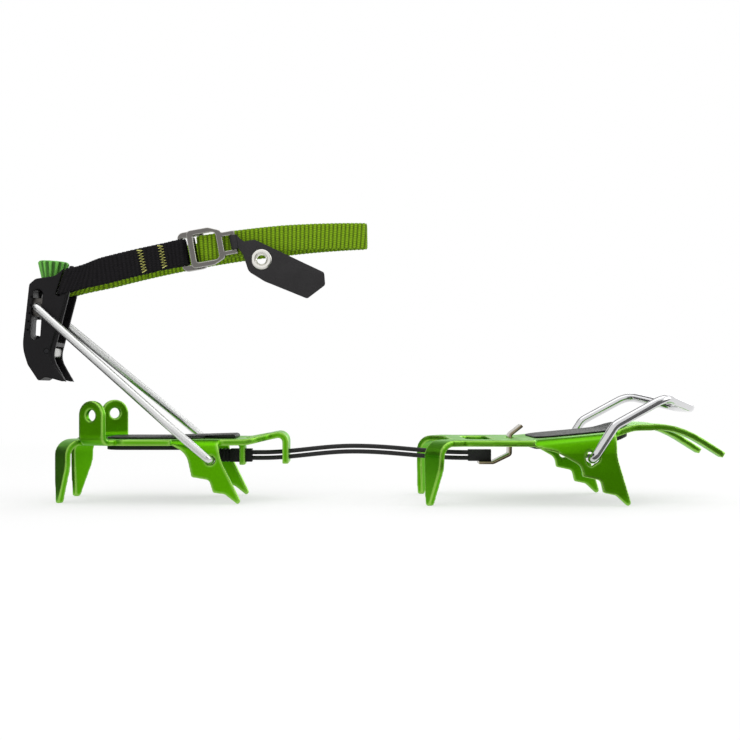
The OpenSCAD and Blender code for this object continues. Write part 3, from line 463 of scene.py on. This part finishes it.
def lift_deck(piece):
    """Lets the front deck rise gently towards its crest, with the flanges' holes left in place."""
    for v in piece.data.vertices:
        x, y, z = (c / MM for c in v.co)
        flange = ease(abs(y), *FLANGE_Y)
        v.co.z += deck_rise(x) * (1 - flange * (1 - ease(z, *FLANGE_Z))) * MM


class CRAMPON_OT_plates(bpy.types.Operator):
    """Rounds the cut edges of the two bent plates and gives them their anodised finish, paler on edges and bends
    as wear and a painted highlight
    """

    bl_idname = "crampon.plates"
    bl_label = "Plates"

    def execute(self, context):
        face = anodised("anodised_green", colours().plate_green, colours().edge_wear_and_highlight_green)
        for node in ("heel_plate", "front_plate"):
            piece = soften(node_copy(node, node + "_rounded"), sizes().plate_grain)
            if node == "front_plate":
                lift_deck(piece)
            settle(mark_edges(piece, *PLATE_WEAR_AND_HIGHLIGHT), node, face)
        return {"FINISHED"}


class CRAMPON_OT_snow_plates(bpy.types.Operator):
    """Finishes the two moulded snow-shedding plates"""

    bl_idname = "crampon.snow_plates"
    bl_label = "Snow plates"

    def execute(self, context):
        # Its slight green tint is a painted reflection of the green plates.
        black = moulded("snow_plate_black", colours().snow_black_green_reflection)
        dress("heel_antiball_plate", "heel_antiball_plate_moulded", black, sizes().moulding_round)
        front = node_copy("front_antiball_plate", "front_antiball_plate_moulded")
        lift_deck(soften(front, sizes().lever_grain))
        settle(front, "front_antiball_plate", black)
        return {"FINISHED"}


# Round stock along filleted routes

NEARLY_STRAIGHT = math.radians(89.5)
LONGEST_CUT = 0.49


def fillet(a, p, b, radius, steps):
    """Points of the arc that rounds corner p between a and b."""
    u = (a - p).normalized()
    v = (b - p).normalized()
    half = math.acos(max(-1.0, min(1.0, u.dot(v)))) / 2
    if radius <= 0 or half > NEARLY_STRAIGHT:
        return [p]
    cut = min(radius / math.tan(half), LONGEST_CUT * (a - p).length, LONGEST_CUT * (b - p).length)
    reach = cut * math.tan(half)
    centre = p + (u + v).normalized() * math.hypot(cut, reach)
    start = p + u * cut - centre
    end = p + v * cut - centre
    total = start.angle(end)
    arc = []
    for k in range(steps + 1):
        swept = start * math.sin(total * (1 - k / steps)) + end * math.sin(total * k / steps)
        arc.append(centre + swept / math.sin(total))
    return arc


def rounded_route(corners, steps=10):
    """Route in metres through corners (x, y, z, radius) in millimetres."""
    points = [Vector(c[:3]) for c in corners]
    route = [points[0]]
    for i in range(1, len(points) - 1):
        route += fillet(points[i - 1], points[i], points[i + 1], corners[i][3], steps)
    route.append(points[-1])
    return [p * MM for p in route]


def mirrored(corners):
    """A route through one side's corners and back through their mirror images."""
    return corners + [(x, -y, z, r) for x, y, z, r in reversed(corners)]


def round_stock(name, route, diameter, resolution=6):
    """A solid round bar along a route, with flat ends."""
    bpy.ops.object.select_all(action="DESELECT")
    bpy.ops.curve.primitive_nurbs_path_add(location=(0, 0, 0))
    piece = active()
    piece.name = name
    curve = piece.data
    curve.splines.clear()
    spline = curve.splines.new("POLY")
    spline.points.add(len(route) - 1)
    for point, place in zip(spline.points, route):
        point.co = (*place, 1.0)
    curve.dimensions = "3D"
    curve.twist_mode = "MINIMUM"
    curve.bevel_depth = diameter / 2
    curve.bevel_resolution = resolution
    curve.use_fill_caps = True
    pick(piece)
    bpy.ops.object.convert(target="MESH")
    piece = active()
    face_outwards(piece, merge=0.001 * MM)
    return piece


# Bails: bends as (x, y, z, radius) in millimetres, where the toe bail's x and z start at its pivot

TOE_WIRE_D, HEEL_WIRE_D = 4.4, 4.0
TOE_BENDS = (
    (0, 32.9, 0, 0), (0, 40.9, 0, 3), (10, 40.9, 15.8, 8), (34.2, 39.9, 29.1, 10), (53.2, 14, 23.5, 16),
)
HEEL_END_Y, HEEL_SIDE_Y, LEVER_SIDE_Y = 22.5, 30.3, 13.4
HEEL_BEND, KNEE_BEND, LEVER_BEND = 3, 30, 3.2
KNEE_SHARE = 0.22
WIRE_END_ROUND = 0.5


class CRAMPON_OT_bails(bpy.types.Operator):
    """Bends the toe bail and the heel bail from round wire"""

    bl_idname = "crampon.bails"
    bl_label = "Bails"

    def pivot(self, joint):
        """A joint's x and z in millimetres."""
        x, _, z = JOINT[joint]["pos_m"]
        return x / MM, z / MM

    def toe_bends(self):
        px, pz = self.pivot("toe_bail_swing")
        return [(px + x, y, pz + z, radius) for x, y, z, radius in TOE_BENDS]

    def heel_bends(self):
        px, pz = self.pivot("heel_bail_swing")
        lx, lz = self.pivot("lever_pivot")
        return [
            (px, HEEL_END_Y, pz, 0),
            (px, HEEL_SIDE_Y, pz, HEEL_BEND),
            (px + KNEE_SHARE * (lx - px), HEEL_SIDE_Y, pz + KNEE_SHARE * (lz - pz), KNEE_BEND),
            (lx, LEVER_SIDE_Y, lz, LEVER_BEND),
        ]

    def execute(self, context):
        polished = drawn_steel("polished_wire", colours().wire_bright, roughness=(0.08, 0.16))
        satin = drawn_steel("satin_wire", colours().wire_satin, roughness=(0.24, 0.36))
        for node, bends, diameter, finish in (
            ("toe_bail", self.toe_bends(), TOE_WIRE_D, polished),
            ("heel_bail", self.heel_bends(), HEEL_WIRE_D, satin),
        ):
            piece = round_stock(node + "_wire", rounded_route(mirrored(bends)), diameter * MM)
            round_edges(piece, WIRE_END_ROUND * MM, steps=3, sharper_than=60)
            smooth(piece, angle=40)
            settle(piece, node, finish)
        return {"FINISHED"}


# Link: two cables that arch between the plates, in millimetres

CABLE_Z, ARCH_H = 22.2, 3.2
ARCH_X, ARCH_FRONT, ARCH_REAR = -8.0, 56.0, 46.0
CABLE_REAR_X, CABLE_RUN, CABLE_STEPS = -73.0, 131.9, 90
CABLE_OFF = 1.4


def cable_height(x):
    """Arch of the cables, level at the rear for as far as they slide through the bush."""
    f = min(1.0, (x - ARCH_X) / ARCH_FRONT if x > ARCH_X else (ARCH_X - x) / ARCH_REAR)
    return CABLE_Z + ARCH_H * math.cos(math.pi / 2 * f) ** 2


class CRAMPON_OT_link(bpy.types.Operator):
    """Makes the two coated cables, and finishes the hook, ferrule and cable blocks"""

    bl_idname = "crampon.link"
    bl_label = "Link"

    def execute(self, context):
        coat = moulded("cable_coat", colours().cable_black, grain=900.0, roughness=(0.3, 0.4))
        along = [CABLE_REAR_X + CABLE_RUN * k / CABLE_STEPS for k in range(CABLE_STEPS + 1)]
        both = []
        for side in (-1, 1):
            route = [Vector((x, 0.0, cable_height(x) + side * CABLE_OFF)) * MM for x in along]
            both.append(round_stock("link_cable", route, sizes().cable_d))
        cables = joined(both, "link_cables_coated")
        smooth(cables, angle=40)
        cables.data.materials.append(coat)
        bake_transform(cables)
        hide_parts("link_cables")
        plated = drawn_steel("plated_hook", colours().hook_steel, roughness=(0.12, 0.2))
        dress("link_hook", "link_hook_bent", plated, sizes().fitting_round)
        dress("link_ferrule", "link_ferrule_sleeve", coat, sizes().fitting_round)
        block = moulded("cable_block_black", colours().moulding_black)
        for node in ("cable_bush", "cable_adjuster", "cable_tail_stop"):
            dress(node, node + "_moulded", block, sizes().fitting_round, clamp=True)
        return {"FINISHED"}


# Heel lever and its adjuster, in millimetres: dots as (x, z), and the knob's radius, flare and grooves

SETTING_DOTS = ((-166.5, 100.3), (-167.0, 96.3), (-167.5, 92.4), (-168.0, 88.4), (-168.5, 84.2))
DOT_R, DRILL_DEPTH = 0.55, 2.4
KNOB_GRAIN = 0.2
KNOB_FOOT_R, KNOB_FLARE = 5.4, 2.3
KNOB_RIM, KNOB_TOP, KNOB_GROOVE = 1.0, 0.4, 0.8


class CRAMPON_OT_lever(bpy.types.Operator):
    """Finishes the moulded heel lever with its carriage, pad and pin"""

    bl_idname = "crampon.lever"
    bl_label = "Heel lever"

    def drill_dots(self, lever):
        """Drills the setting dots into the lever's near face."""
        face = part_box("heel_lever")[0][1]
        for x, z in SETTING_DOTS:
            bpy.ops.object.select_all(action="DESELECT")
            bpy.ops.mesh.primitive_cylinder_add(
                vertices=16, radius=DOT_R * MM, depth=DRILL_DEPTH * MM,
                location=(x * MM, face, z * MM), rotation=(math.pi / 2, 0, 0),
            )
            drill = active()
            apply_modifier(lever, "BOOLEAN", object=drill, operation="DIFFERENCE", solver="EXACT")
            pick(drill)
            bpy.ops.object.delete()

    def execute(self, context):
        black = moulded("lever_black", colours().moulding_black, roughness=(0.34, 0.46), gloss=0.18)
        carriage = drawn_steel("carriage_steel", colours().carriage_dark, roughness=(0.3, 0.44))
        pad = drawn_steel("pad_steel", colours().pad_steel, roughness=(0.26, 0.4))
        pin = drawn_steel("pin_steel", colours().pin_dark, roughness=(0.4, 0.55))
        lever = node_copy("heel_lever", "heel_lever_moulded")
        self.drill_dots(lever)
        settle(soften(lever, sizes().lever_grain), "heel_lever", black)
        dress("bail_carriage", "bail_carriage_cut", carriage, sizes().fitting_round)
        dress("hook_pad", "hook_pad_cut", pad, sizes().fitting_round)
        dress("hook_pad_pin", "hook_pad_pin_cut", pin, sizes().fitting_round)
        return {"FINISHED"}


class CRAMPON_OT_knob(bpy.types.Operator):
    """Finishes the adjusting screw and its ribbed knob"""

    bl_idname = "crampon.knob"
    bl_label = "Adjusting knob"

    def mark_rib_shade(self, knob):
        """Writes the rise attribute: 1 on the ribs and on top, 0 at the bottom of the grooves, where the finish
        paints shade.
        """
        foot = Vector(JOINT["knob_spin"]["pos_m"])
        axis = Vector(JOINT["knob_spin"]["axis"]).normalized()
        along = [(v.co - foot).dot(axis) for v in knob.data.vertices]
        low, tall = min(along), max(along) - min(along)
        rises = []
        for v, t in zip(knob.data.vertices, along):
            flare = min(1.0, (t - low) / (tall - KNOB_RIM * MM))
            outer = (KNOB_FOOT_R + KNOB_FLARE * flare) * MM
            out = (v.co - foot - axis * t).length
            on_top = t - low > tall - KNOB_TOP * MM
            rises.append(1.0 if on_top else unit(1 - (outer - out) / (KNOB_GROOVE * MM)))
        write_attribute(knob, "rise", rises)

    def execute(self, context):
        green = ribs_with_painted_shade("knob_green", colours().knob_green)
        steel = drawn_steel("screw_steel", colours().wire_bright, roughness=(0.16, 0.26))
        knob = soften(node_copy("adjuster_knob", "adjuster_knob_moulded"), KNOB_GRAIN * MM)
        self.mark_rib_shade(knob)
        settle(knob, "adjuster_knob", green)
        dress("adjuster_screw", "adjuster_screw_cut", steel, sizes().fitting_round)
        return {"FINISHED"}


# Strap: webbing on edge that leaves the lever's wings at their lean and sags from there, in millimetres

STRAP_X, STRAP_Z = -149.0, 108.2
SLOPE, SAG = 0.298, 0.00095
WING_LEAN = math.tan(math.radians(18))
LEAN_START, LEAN_END = STRAP_X + 4, STRAP_X + 20
WEB_W, WEB_T = 12.7, 1.6
HALF_W = WEB_W / 2
OUTER_Y, INNER_Y, BUCKLE_Y, LOOP_Y = 11.85, 6.65, 11.25, 2.3
PLY = 1.8
BUCKLE_X, FRONT_BAR_X = -92.3, -81.6
TAIL_X, FOLD_X = -44.0, -2.0
BAR_REACH = 2.4
ROUTE_STEPS, RIB_STEPS, YARN_STEPS = 12, 5, 4
WEAVE_SKEW, EDGE_SCALLOP = 0.1, 0.03
RIDGE_POWER, EDGE_POWER = 0.8, 9
YARN_LOW = 0.3


def strap_height(x):
    d = max(x, STRAP_X) - STRAP_X
    return STRAP_Z + SLOPE * d - SAG * d * d


def strap_grade(x):
    return SLOPE - 2 * SAG * (x - STRAP_X)


def strap_lean(x):
    """Shift along x for each millimetre up the webbing: the wing's at first, then square to the slope."""
    return WING_LEAN - (strap_grade(x) + WING_LEAN) * ease(x, LEAN_START, LEAN_END)


def even_route(route, step):
    """Points a step apart along a plan route, each with its direction and its distance along."""
    points = []
    along = 0.0
    due = 0.0
    for a, b in zip(route, route[1:]):
        gap = (b - a).length
        while due <= along + gap and gap > 0:
            points.append((a.lerp(b, (due - along) / gap), due))
            due += step
        along += gap
    made = []
    for i, (p, s) in enumerate(points):
        ahead = points[min(len(points) - 1, i + 1)][0] - points[max(0, i - 1)][0]
        made.append((p, ahead.normalized(), s))
    return made


def weave(s, w, face, rib, yarn):
    """Lift of the weave and reach of its edge, at s along and w half widths across one face."""
    column = (s + face * WEAVE_SKEW * w * HALF_W) / rib
    ridge = abs(math.sin(math.pi * column)) ** RIDGE_POWER
    odd = math.floor(column) % 2
    bead = abs(math.cos(math.pi * (w * HALF_W / yarn + 0.5 * odd)))
    reach = 1.0 - EDGE_SCALLOP * math.cos(2 * math.pi * column)
    return ridge * (YARN_LOW + (1 - YARN_LOW) * bead), reach


def tube_faces(count, ring):
    """Faces of a closed tube of count rings."""
    faces = []
    for i in range(count - 1):
        for k in range(ring):
            a, b = i * ring + k, i * ring + (k + 1) % ring
            faces.append((a, b, b + ring, a + ring))
    last = (count - 1) * ring
    faces.append(tuple(reversed(range(ring))))
    faces.append(tuple(range(last, last + ring)))
    return faces


def webbing(name, corners):
    """Woven webbing on edge along a plan route of corners (x, y, radius) in millimetres."""
    rib, yarn = sizes().rib_pitch / MM, sizes().yarn_pitch / MM
    rise_h = sizes().rib_height / MM
    plan = [p / MM for p in rounded_route([(x, y, 0.0, r) for x, y, r in corners], ROUTE_STEPS)]
    stations = even_route(plan, rib / RIB_STEPS)
    across = round(WEB_W / yarn * YARN_STEPS)
    verts, rises, marks = [], [], []
    for p, t, s in stations:
        side = Vector((-t.y, t.x, 0.0))
        up = Vector((strap_lean(p.x), 0.0, 1.0))
        centre = Vector((p.x, p.y, strap_height(p.x)))
        for face in (-1, 1):
            for j in range(across):
                w = face * (1 - 2 * (j + 0.5) / across)
                lift, reach = weave(s, w, face, rib, yarn)
                flat = (1 - abs(w) ** EDGE_POWER) ** 0.5
                off = face * ((WEB_T / 2 - rise_h) * flat + rise_h * lift * flat)
                verts.append((centre + side * off + up * (w * HALF_W * reach)) * MM)
                # The lift also drives the finish's painted shade in the weave's hollows.
                rises.append(lift)
                marks.append((s * MM, w * HALF_W * MM))
    mesh = bpy.data.meshes.new(name)
    mesh.from_pydata(verts, [], tube_faces(len(stations), 2 * across))
    piece = bpy.data.objects.new(name, mesh)
    write_attribute(piece, "rise", rises)
    uv = mesh.uv_layers.new(name="weave")
    for loop in mesh.loops:
        uv.data[loop.index].uv = marks[loop.vertex_index]
    bpy.context.scene.collection.objects.link(piece)
    face_outwards(piece)
    smooth(piece, angle=60)
    return piece


# Plan routes of the two straps, as (x, y, radius) in millimetres

BLACK_ROUTE = [
    (BUCKLE_X - 12, -OUTER_Y + PLY, 0),
    (BUCKLE_X - 7, -OUTER_Y + PLY, 4),
    (BUCKLE_X - 2, -BUCKLE_Y + LOOP_Y, 3),
    (BUCKLE_X + LOOP_Y, -BUCKLE_Y + LOOP_Y, LOOP_Y * 0.9),
    (BUCKLE_X + LOOP_Y, -BUCKLE_Y - LOOP_Y, LOOP_Y * 0.9),
    (BUCKLE_X - 2, -BUCKLE_Y - LOOP_Y, 3),
    (BUCKLE_X - 7, -OUTER_Y, 3),
    (STRAP_X - BAR_REACH, -OUTER_Y, 1.2),
    (STRAP_X - BAR_REACH, -INNER_Y, 1.2),
    (STRAP_X + BAR_REACH + 1, -INNER_Y, 2),
    (STRAP_X + 11, -OUTER_Y + PLY, 4),
    (BUCKLE_X - 14, -OUTER_Y + PLY, 0),
]
GREEN_ROUTE = [
    (TAIL_X, -BUCKLE_Y + LOOP_Y + 0.4, 0),
    (FRONT_BAR_X + 4, -BUCKLE_Y + LOOP_Y, 4),
    (FRONT_BAR_X - LOOP_Y, -BUCKLE_Y + LOOP_Y, LOOP_Y * 0.9),
    (FRONT_BAR_X - LOOP_Y, -BUCKLE_Y - LOOP_Y, LOOP_Y * 0.9),
    (FRONT_BAR_X + 4, -BUCKLE_Y - LOOP_Y, 4),
    (TAIL_X + 2, -BUCKLE_Y - 0.4, 30),
    (FOLD_X, -2.6, 2.2),
    (FOLD_X, 2.6, 2.2),
    (TAIL_X + 2, BUCKLE_Y - 1, 30),
    (BUCKLE_X, OUTER_Y + 0.6, 40),
    (STRAP_X - BAR_REACH, OUTER_Y, 1.2),
    (STRAP_X - BAR_REACH, INNER_Y, 1.2),
    (STRAP_X + BAR_REACH + 1, INNER_Y, 2),
    (STRAP_X + 11, OUTER_Y - PLY, 4),
    (STRAP_X + 34, OUTER_Y - PLY, 0),
]


class CRAMPON_OT_straps(bpy.types.Operator):
    """Weaves the black and the green strap"""

    bl_idname = "crampon.straps"
    bl_label = "Straps"

    def execute(self, context):
        black = webbing("strap_black_woven", BLACK_ROUTE)
        # Dark and light paint shade into the weave's hollows and light onto its crests.
        yarn = woven("black_webbing", colours().webbing_black, dark=0.4, light=1.6, sheen=0.0)
        settle(black, "strap_black", yarn)
        green = webbing("strap_green_woven", GREEN_ROUTE)
        yarn = woven("green_webbing", colours().webbing_green, dark=0.1, light=1.5, sheen=0.03)
        settle(green, "strap_green", yarn)
        return {"FINISHED"}


# Bar tacks: zigzags of thread on the outer faces of the straps, in millimetres

NEAR_TACKS = (BUCKLE_X - 19.6, BUCKLE_X - 9.6)
FAR_TACK = STRAP_X + 26
TACK_Y = OUTER_Y + WEB_T / 2 + 0.1
FAR_TACK_Y = TACK_Y + 0.4
TACK_ROWS = 16
TACK_MARGIN, TACK_SWING, THREAD_LAP = 0.9, 1.15, 0.1


def tack_route(x, y):
    """Zigzag of thread from the lower to the upper edge and back."""
    grade = strap_grade(x)
    route = []
    for k in range(2 * TACK_ROWS + 1):
        i = k if k <= TACK_ROWS else 2 * TACK_ROWS - k
        rise = -WEB_W / 2 + TACK_MARGIN + (WEB_W - 2 * TACK_MARGIN) * i / TACK_ROWS
        swing = TACK_SWING * (1 if k % 2 else -1)
        lap = THREAD_LAP * (k > TACK_ROWS)
        place = Vector((x + swing - rise * grade, y - lap, strap_height(x) + rise + swing * grade))
        route.append(place * MM)
    return route


class CRAMPON_OT_tacks(bpy.types.Operator):
    """Sews the bar tacks through the straps"""

    bl_idname = "crampon.tacks"
    bl_label = "Bar tacks"

    def execute(self, context):
        thread = thread_finish("tack_thread", colours().tack_thread)
        places = [(x, -TACK_Y) for x in NEAR_TACKS] + [(FAR_TACK, FAR_TACK_Y)]
        rows = [round_stock("bar_tack", tack_route(x, y), sizes().thread_d, resolution=2) for x, y in places]
        tacks = joined(rows, "strap_bartacks_sewn")
        smooth(tacks, angle=60)
        settle(tacks, "strap_bartacks", thread)
        return {"FINISHED"}


# Buckle, pull tab and eyelet, in millimetres

# Curvatures in 1/m between which the buckle's edges turn paler, as polish and a painted highlight.
BUCKLE_POLISH_AND_HIGHLIGHT = (500.0, 1500.0)
ROLL_R, ROLL_HALF_W, ROLL_HALF_H = 3.9, 1.1, 0.6
BARREL_R, BARREL_HALF_W = 2.62, 0.38


class CRAMPON_OT_buckle(bpy.types.Operator):
    """Finishes the buckle's frame and release plate, with edges paler as polish and a painted highlight"""

    bl_idname = "crampon.buckle"
    bl_label = "Buckle"

    def execute(self, context):
        base, edge = colours().buckle_grey, colours().buckle_polish_and_highlight
        grey = drawn_steel("buckle_grey", base, roughness=(0.25, 0.3), edge=edge)
        for node in ("buckle_frame", "buckle_slider"):
            piece = soften(node_copy(node, node + "_rounded"), sizes().buckle_grain)
            settle(mark_edges(piece, *BUCKLE_POLISH_AND_HIGHLIGHT), node, grey)
        return {"FINISHED"}


class CRAMPON_OT_pull_tab(bpy.types.Operator):
    """Finishes the pull tab and its eyelet"""

    bl_idname = "crampon.pull_tab"
    bl_label = "Pull tab"

    def ring(self, middle, y, radius, half):
        """A closed ring round the eyelet's axis, of an oval section."""
        bpy.ops.object.select_all(action="DESELECT")
        bpy.ops.mesh.primitive_circle_add(vertices=20, radius=1.0, location=(0, 0, 0))
        made = active()
        bpy.ops.object.mode_set(mode="EDIT")
        bpy.ops.mesh.select_all(action="SELECT")
        bpy.ops.transform.resize(value=(*half, 1.0), center_override=(0, 0, 0))
        bpy.ops.transform.translate(value=(middle.x + radius, y, middle.z))
        bpy.ops.mesh.spin(steps=56, angle=2 * math.pi, center=(middle.x, y, middle.z), axis=(0, 1, 0))
        face_outwards(made, merge=0.01 * MM)
        return made

    def eyelet(self):
        """A barrel with a rolled rim on each face of the tab."""
        low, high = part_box("tab_eyelet")
        middle = (Vector(low) + Vector(high)) / 2
        rings = []
        for y, out in ((low[1], 1), (high[1], -1)):
            rim_y = y + out * ROLL_HALF_H * MM
            rings.append(self.ring(middle, rim_y, ROLL_R * MM, (ROLL_HALF_W * MM, ROLL_HALF_H * MM)))
        barrel = (BARREL_HALF_W * MM, (high[1] - low[1]) / 2)
        rings.append(self.ring(middle, middle.y, BARREL_R * MM, barrel))
        return joined(rings, "tab_eyelet_rolled")

    def execute(self, context):
        rubber = moulded("tab_rubber", colours().tab_black, grain=2200.0, roughness=(0.5, 0.64))
        dress("pull_tab", "pull_tab_moulded", rubber, sizes().fitting_round)
        steel = drawn_steel("eyelet_steel", colours().eyelet_steel, roughness=(0.14, 0.24))
        eyelet = self.eyelet()
        smooth(eyelet, angle=60)
        settle(eyelet, "tab_eyelet", steel)
        return {"FINISHED"}


# Stage: the camera's place in metres, and its focal length and shift in the photograph's pixels

CAMERA_PLACE = (-0.0125, -0.62, 0.0557)
PHOTO_W, FOCAL, SHIFT_X, SHIFT_Y = 740, 1240, 25, 18
SENSOR_W = 36.0


def seen_directly(tree):
    """1 for camera, glossy and transmission rays, and 0 for those that light the part."""
    path = tree.nodes.new("ShaderNodeLightPath")
    seen = path.outputs["Is Camera Ray"]
    for ray in ("Is Glossy Ray", "Is Transmission Ray"):
        either = tree.nodes.new("ShaderNodeMath")
        either.operation = "MAXIMUM"
        tree.links.new(seen, either.inputs[0])
        tree.links.new(path.outputs[ray], either.inputs[1])
        seen = either.outputs[0]
    return seen


class CRAMPON_OT_stage(bpy.types.Operator):
    """Sets the floor, the lights, the white background and the camera"""

    bl_idname = "crampon.stage"
    bl_label = "Stage"

    def floor(self):
        bpy.ops.object.select_all(action="DESELECT")
        bpy.ops.mesh.primitive_plane_add(size=60.0, location=(0, 0, 0))
        floor = active()
        floor.name = "studio_floor"
        material = bpy.data.materials.new("studio_white")
        material.use_nodes = True
        tree = material.node_tree
        tree.nodes.clear()
        out = tree.nodes.new("ShaderNodeOutputMaterial")
        paper = tree.nodes.new("ShaderNodeBsdfDiffuse")
        paper.inputs["Color"].default_value = (0.95, 0.95, 0.95, 1.0)
        glow = tree.nodes.new("ShaderNodeEmission")
        glow.inputs["Strength"].default_value = 1.0
        mix = tree.nodes.new("ShaderNodeMixShader")
        seen = seen_directly(tree)
        coords = tree.nodes.new("ShaderNodeTexCoord")
        away = tree.nodes.new("ShaderNodeVectorMath")
        away.operation = "LENGTH"
        tree.links.new(coords.outputs["Object"], away.inputs[0])
        fade = tree.nodes.new("ShaderNodeMapRange")
        fade.inputs["From Min"].default_value = 0.2
        fade.inputs["From Max"].default_value = 0.75
        fade.inputs["To Min"].default_value = 0.55
        fade.inputs["To Max"].default_value = 1.0
        tree.links.new(away.outputs["Value"], fade.inputs["Value"])
        near = tree.nodes.new("ShaderNodeMath")
        near.operation = "MULTIPLY"
        tree.links.new(fade.outputs["Result"], near.inputs[1])
        tree.links.new(seen, near.inputs[0])
        tree.links.new(near.outputs[0], mix.inputs["Fac"])
        tree.links.new(paper.outputs[0], mix.inputs[1])
        tree.links.new(glow.outputs[0], mix.inputs[2])
        tree.links.new(mix.outputs[0], out.inputs["Surface"])
        floor.data.materials.append(material)

    def world(self):
        world = bpy.data.worlds.new("studio_world")
        bpy.context.scene.world = world
        world.use_nodes = True
        tree = world.node_tree
        tree.nodes.clear()
        out = tree.nodes.new("ShaderNodeOutputWorld")
        fill = tree.nodes.new("ShaderNodeBackground")
        fill.inputs["Color"].default_value = (1, 1, 1, 1)
        fill.inputs["Strength"].default_value = 0.6
        white = tree.nodes.new("ShaderNodeBackground")
        white.inputs["Color"].default_value = (1, 1, 1, 1)
        white.inputs["Strength"].default_value = 1.0
        mix = tree.nodes.new("ShaderNodeMixShader")
        tree.links.new(seen_directly(tree), mix.inputs["Fac"])
        tree.links.new(fill.outputs[0], mix.inputs[1])
        tree.links.new(white.outputs[0], mix.inputs[2])
        tree.links.new(mix.outputs[0], out.inputs["Surface"])

    def flag(self, name, place, size, grey, tilt=0, turn=0):
        """A grey card that metal reflects and the camera doesn't see."""
        bpy.ops.object.select_all(action="DESELECT")
        angles = (math.radians(tilt), 0, math.radians(turn))
        bpy.ops.mesh.primitive_plane_add(size=1.0, location=place, rotation=angles)
        card = active()
        card.name = name
        card.scale = (*size, 1.0)
        bpy.ops.object.transform_apply(location=True, rotation=True, scale=True)
        card.visible_camera = False
        card.visible_shadow = False
        card.visible_diffuse = False
        material = bpy.data.materials.new(name + "_paper")
        material.use_nodes = True
        shader = material.node_tree.nodes["Principled BSDF"]
        shader.inputs["Base Color"].default_value = (grey, grey, grey, 1.0)
        shader.inputs["Roughness"].default_value = 0.9
        card.data.materials.append(material)

    def lamp(self, name, place, aim, size, power, reflected=True):
        """A soft lamp that points from its place to its aim, and that metal may reflect."""
        bpy.ops.object.select_all(action="DESELECT")
        bpy.ops.object.light_add(type="AREA", location=place)
        lamp = active()
        lamp.name = name
        lamp.data.shape = "RECTANGLE"
        lamp.data.size, lamp.data.size_y = size
        lamp.data.energy = power
        lamp.visible_glossy = reflected
        lamp.rotation_euler = (Vector(aim) - Vector(place)).to_track_quat("-Z", "Y").to_euler()

    def camera(self):
        bpy.ops.object.select_all(action="DESELECT")
        bpy.ops.object.camera_add(location=CAMERA_PLACE, rotation=(math.pi / 2, 0, 0))
        camera = active()
        camera.name = "photo_camera"
        camera.data.sensor_width = SENSOR_W
        camera.data.lens = SENSOR_W * FOCAL / PHOTO_W
        camera.data.shift_x = SHIFT_X / PHOTO_W
        camera.data.shift_y = SHIFT_Y / PHOTO_W
        camera.data.clip_start = 0.01
        bpy.context.scene.camera = camera

    def execute(self, context):
        self.floor()
        self.world()
        self.lamp("top_softbox", (0.0, -0.05, 1.2), (0, 0, 0.05), (1.6, 1.2), power=4.2)
        self.lamp("front_softbox", (-0.5, -0.9, 0.6), (0, 0, 0.06), (1.0, 0.9), power=4.0, reflected=False)
        self.lamp("rear_softbox", (0.6, 0.8, 0.6), (0, 0, 0.06), (0.9, 0.9), power=4.0)
        self.lamp("toe_softbox", (1.1, -0.35, 0.45), (0, 0, 0.06), (0.7, 0.7), power=2.5)
        self.flag("heel_floor_flag", (-0.45, -0.4, 0.0005), (1.0, 0.7), grey=0.65)
        self.flag("toe_floor_flag", (0.55, -0.4, 0.0005), (1.0, 0.7), grey=0.1)
        self.flag("toe_flag", (0.585, -0.74, 0.21), (0.63, 0.42), grey=0.15, tilt=90)
        self.flag("side_flag", (-0.8, -0.4, 0.2), (0.9, 0.4), grey=0.02, tilt=90, turn=60)
        self.flag("rear_floor_flag", (-0.62, 0.3, 0.0005), (0.9, 0.7), grey=0.12)
        self.flag("heel_flag", (-0.8, 0.45, 0.2), (1.0, 0.5), grey=0.02, tilt=90, turn=-60)
        self.flag("rear_flag", (0, 0.7, 0.85), (2.4, 0.8), grey=0.3, tilt=-40)
        self.camera()
        context.scene.view_settings.view_transform = "Standard"
        return {"FINISHED"}


class CRAMPON_PT_panel(bpy.types.Panel):
    """Steps that finish the crampon"""

    bl_idname = "CRAMPON_PT_panel"
    bl_label = "Crampon"
    bl_space_type = "VIEW_3D"
    bl_region_type = "UI"
    bl_category = "Crampon"

    def draw(self, context):
        for step in STEPS:
            self.layout.operator(step.bl_idname)
        for group in (context.scene.crampon_colours, context.scene.crampon_sizes):
            box = self.layout.box()
            for key in group.__annotations__:
                box.prop(group, key)


STEPS = (
    CRAMPON_OT_stage,
    CRAMPON_OT_plates,
    CRAMPON_OT_snow_plates,
    CRAMPON_OT_bails,
    CRAMPON_OT_link,
    CRAMPON_OT_lever,
    CRAMPON_OT_knob,
    CRAMPON_OT_straps,
    CRAMPON_OT_tacks,
    CRAMPON_OT_buckle,
    CRAMPON_OT_pull_tab,
)
CLASSES = (CRAMPON_PG_colours, CRAMPON_PG_sizes) + STEPS + (CRAMPON_PT_panel,)


def register():
    for item in CLASSES:
        bpy.utils.register_class(item)
    bpy.types.Scene.crampon_colours = bpy.props.PointerProperty(type=CRAMPON_PG_colours)
    bpy.types.Scene.crampon_sizes = bpy.props.PointerProperty(type=CRAMPON_PG_sizes)


def unregister():
    del bpy.types.Scene.crampon_sizes
    del bpy.types.Scene.crampon_colours
    for item in reversed(CLASSES):
        bpy.utils.unregister_class(item)


def main():
    register()
    for step in STEPS:
        getattr(bpy.ops.crampon, step.bl_idname.split(".")[1])()


if __name__ == "__main__":
    main()
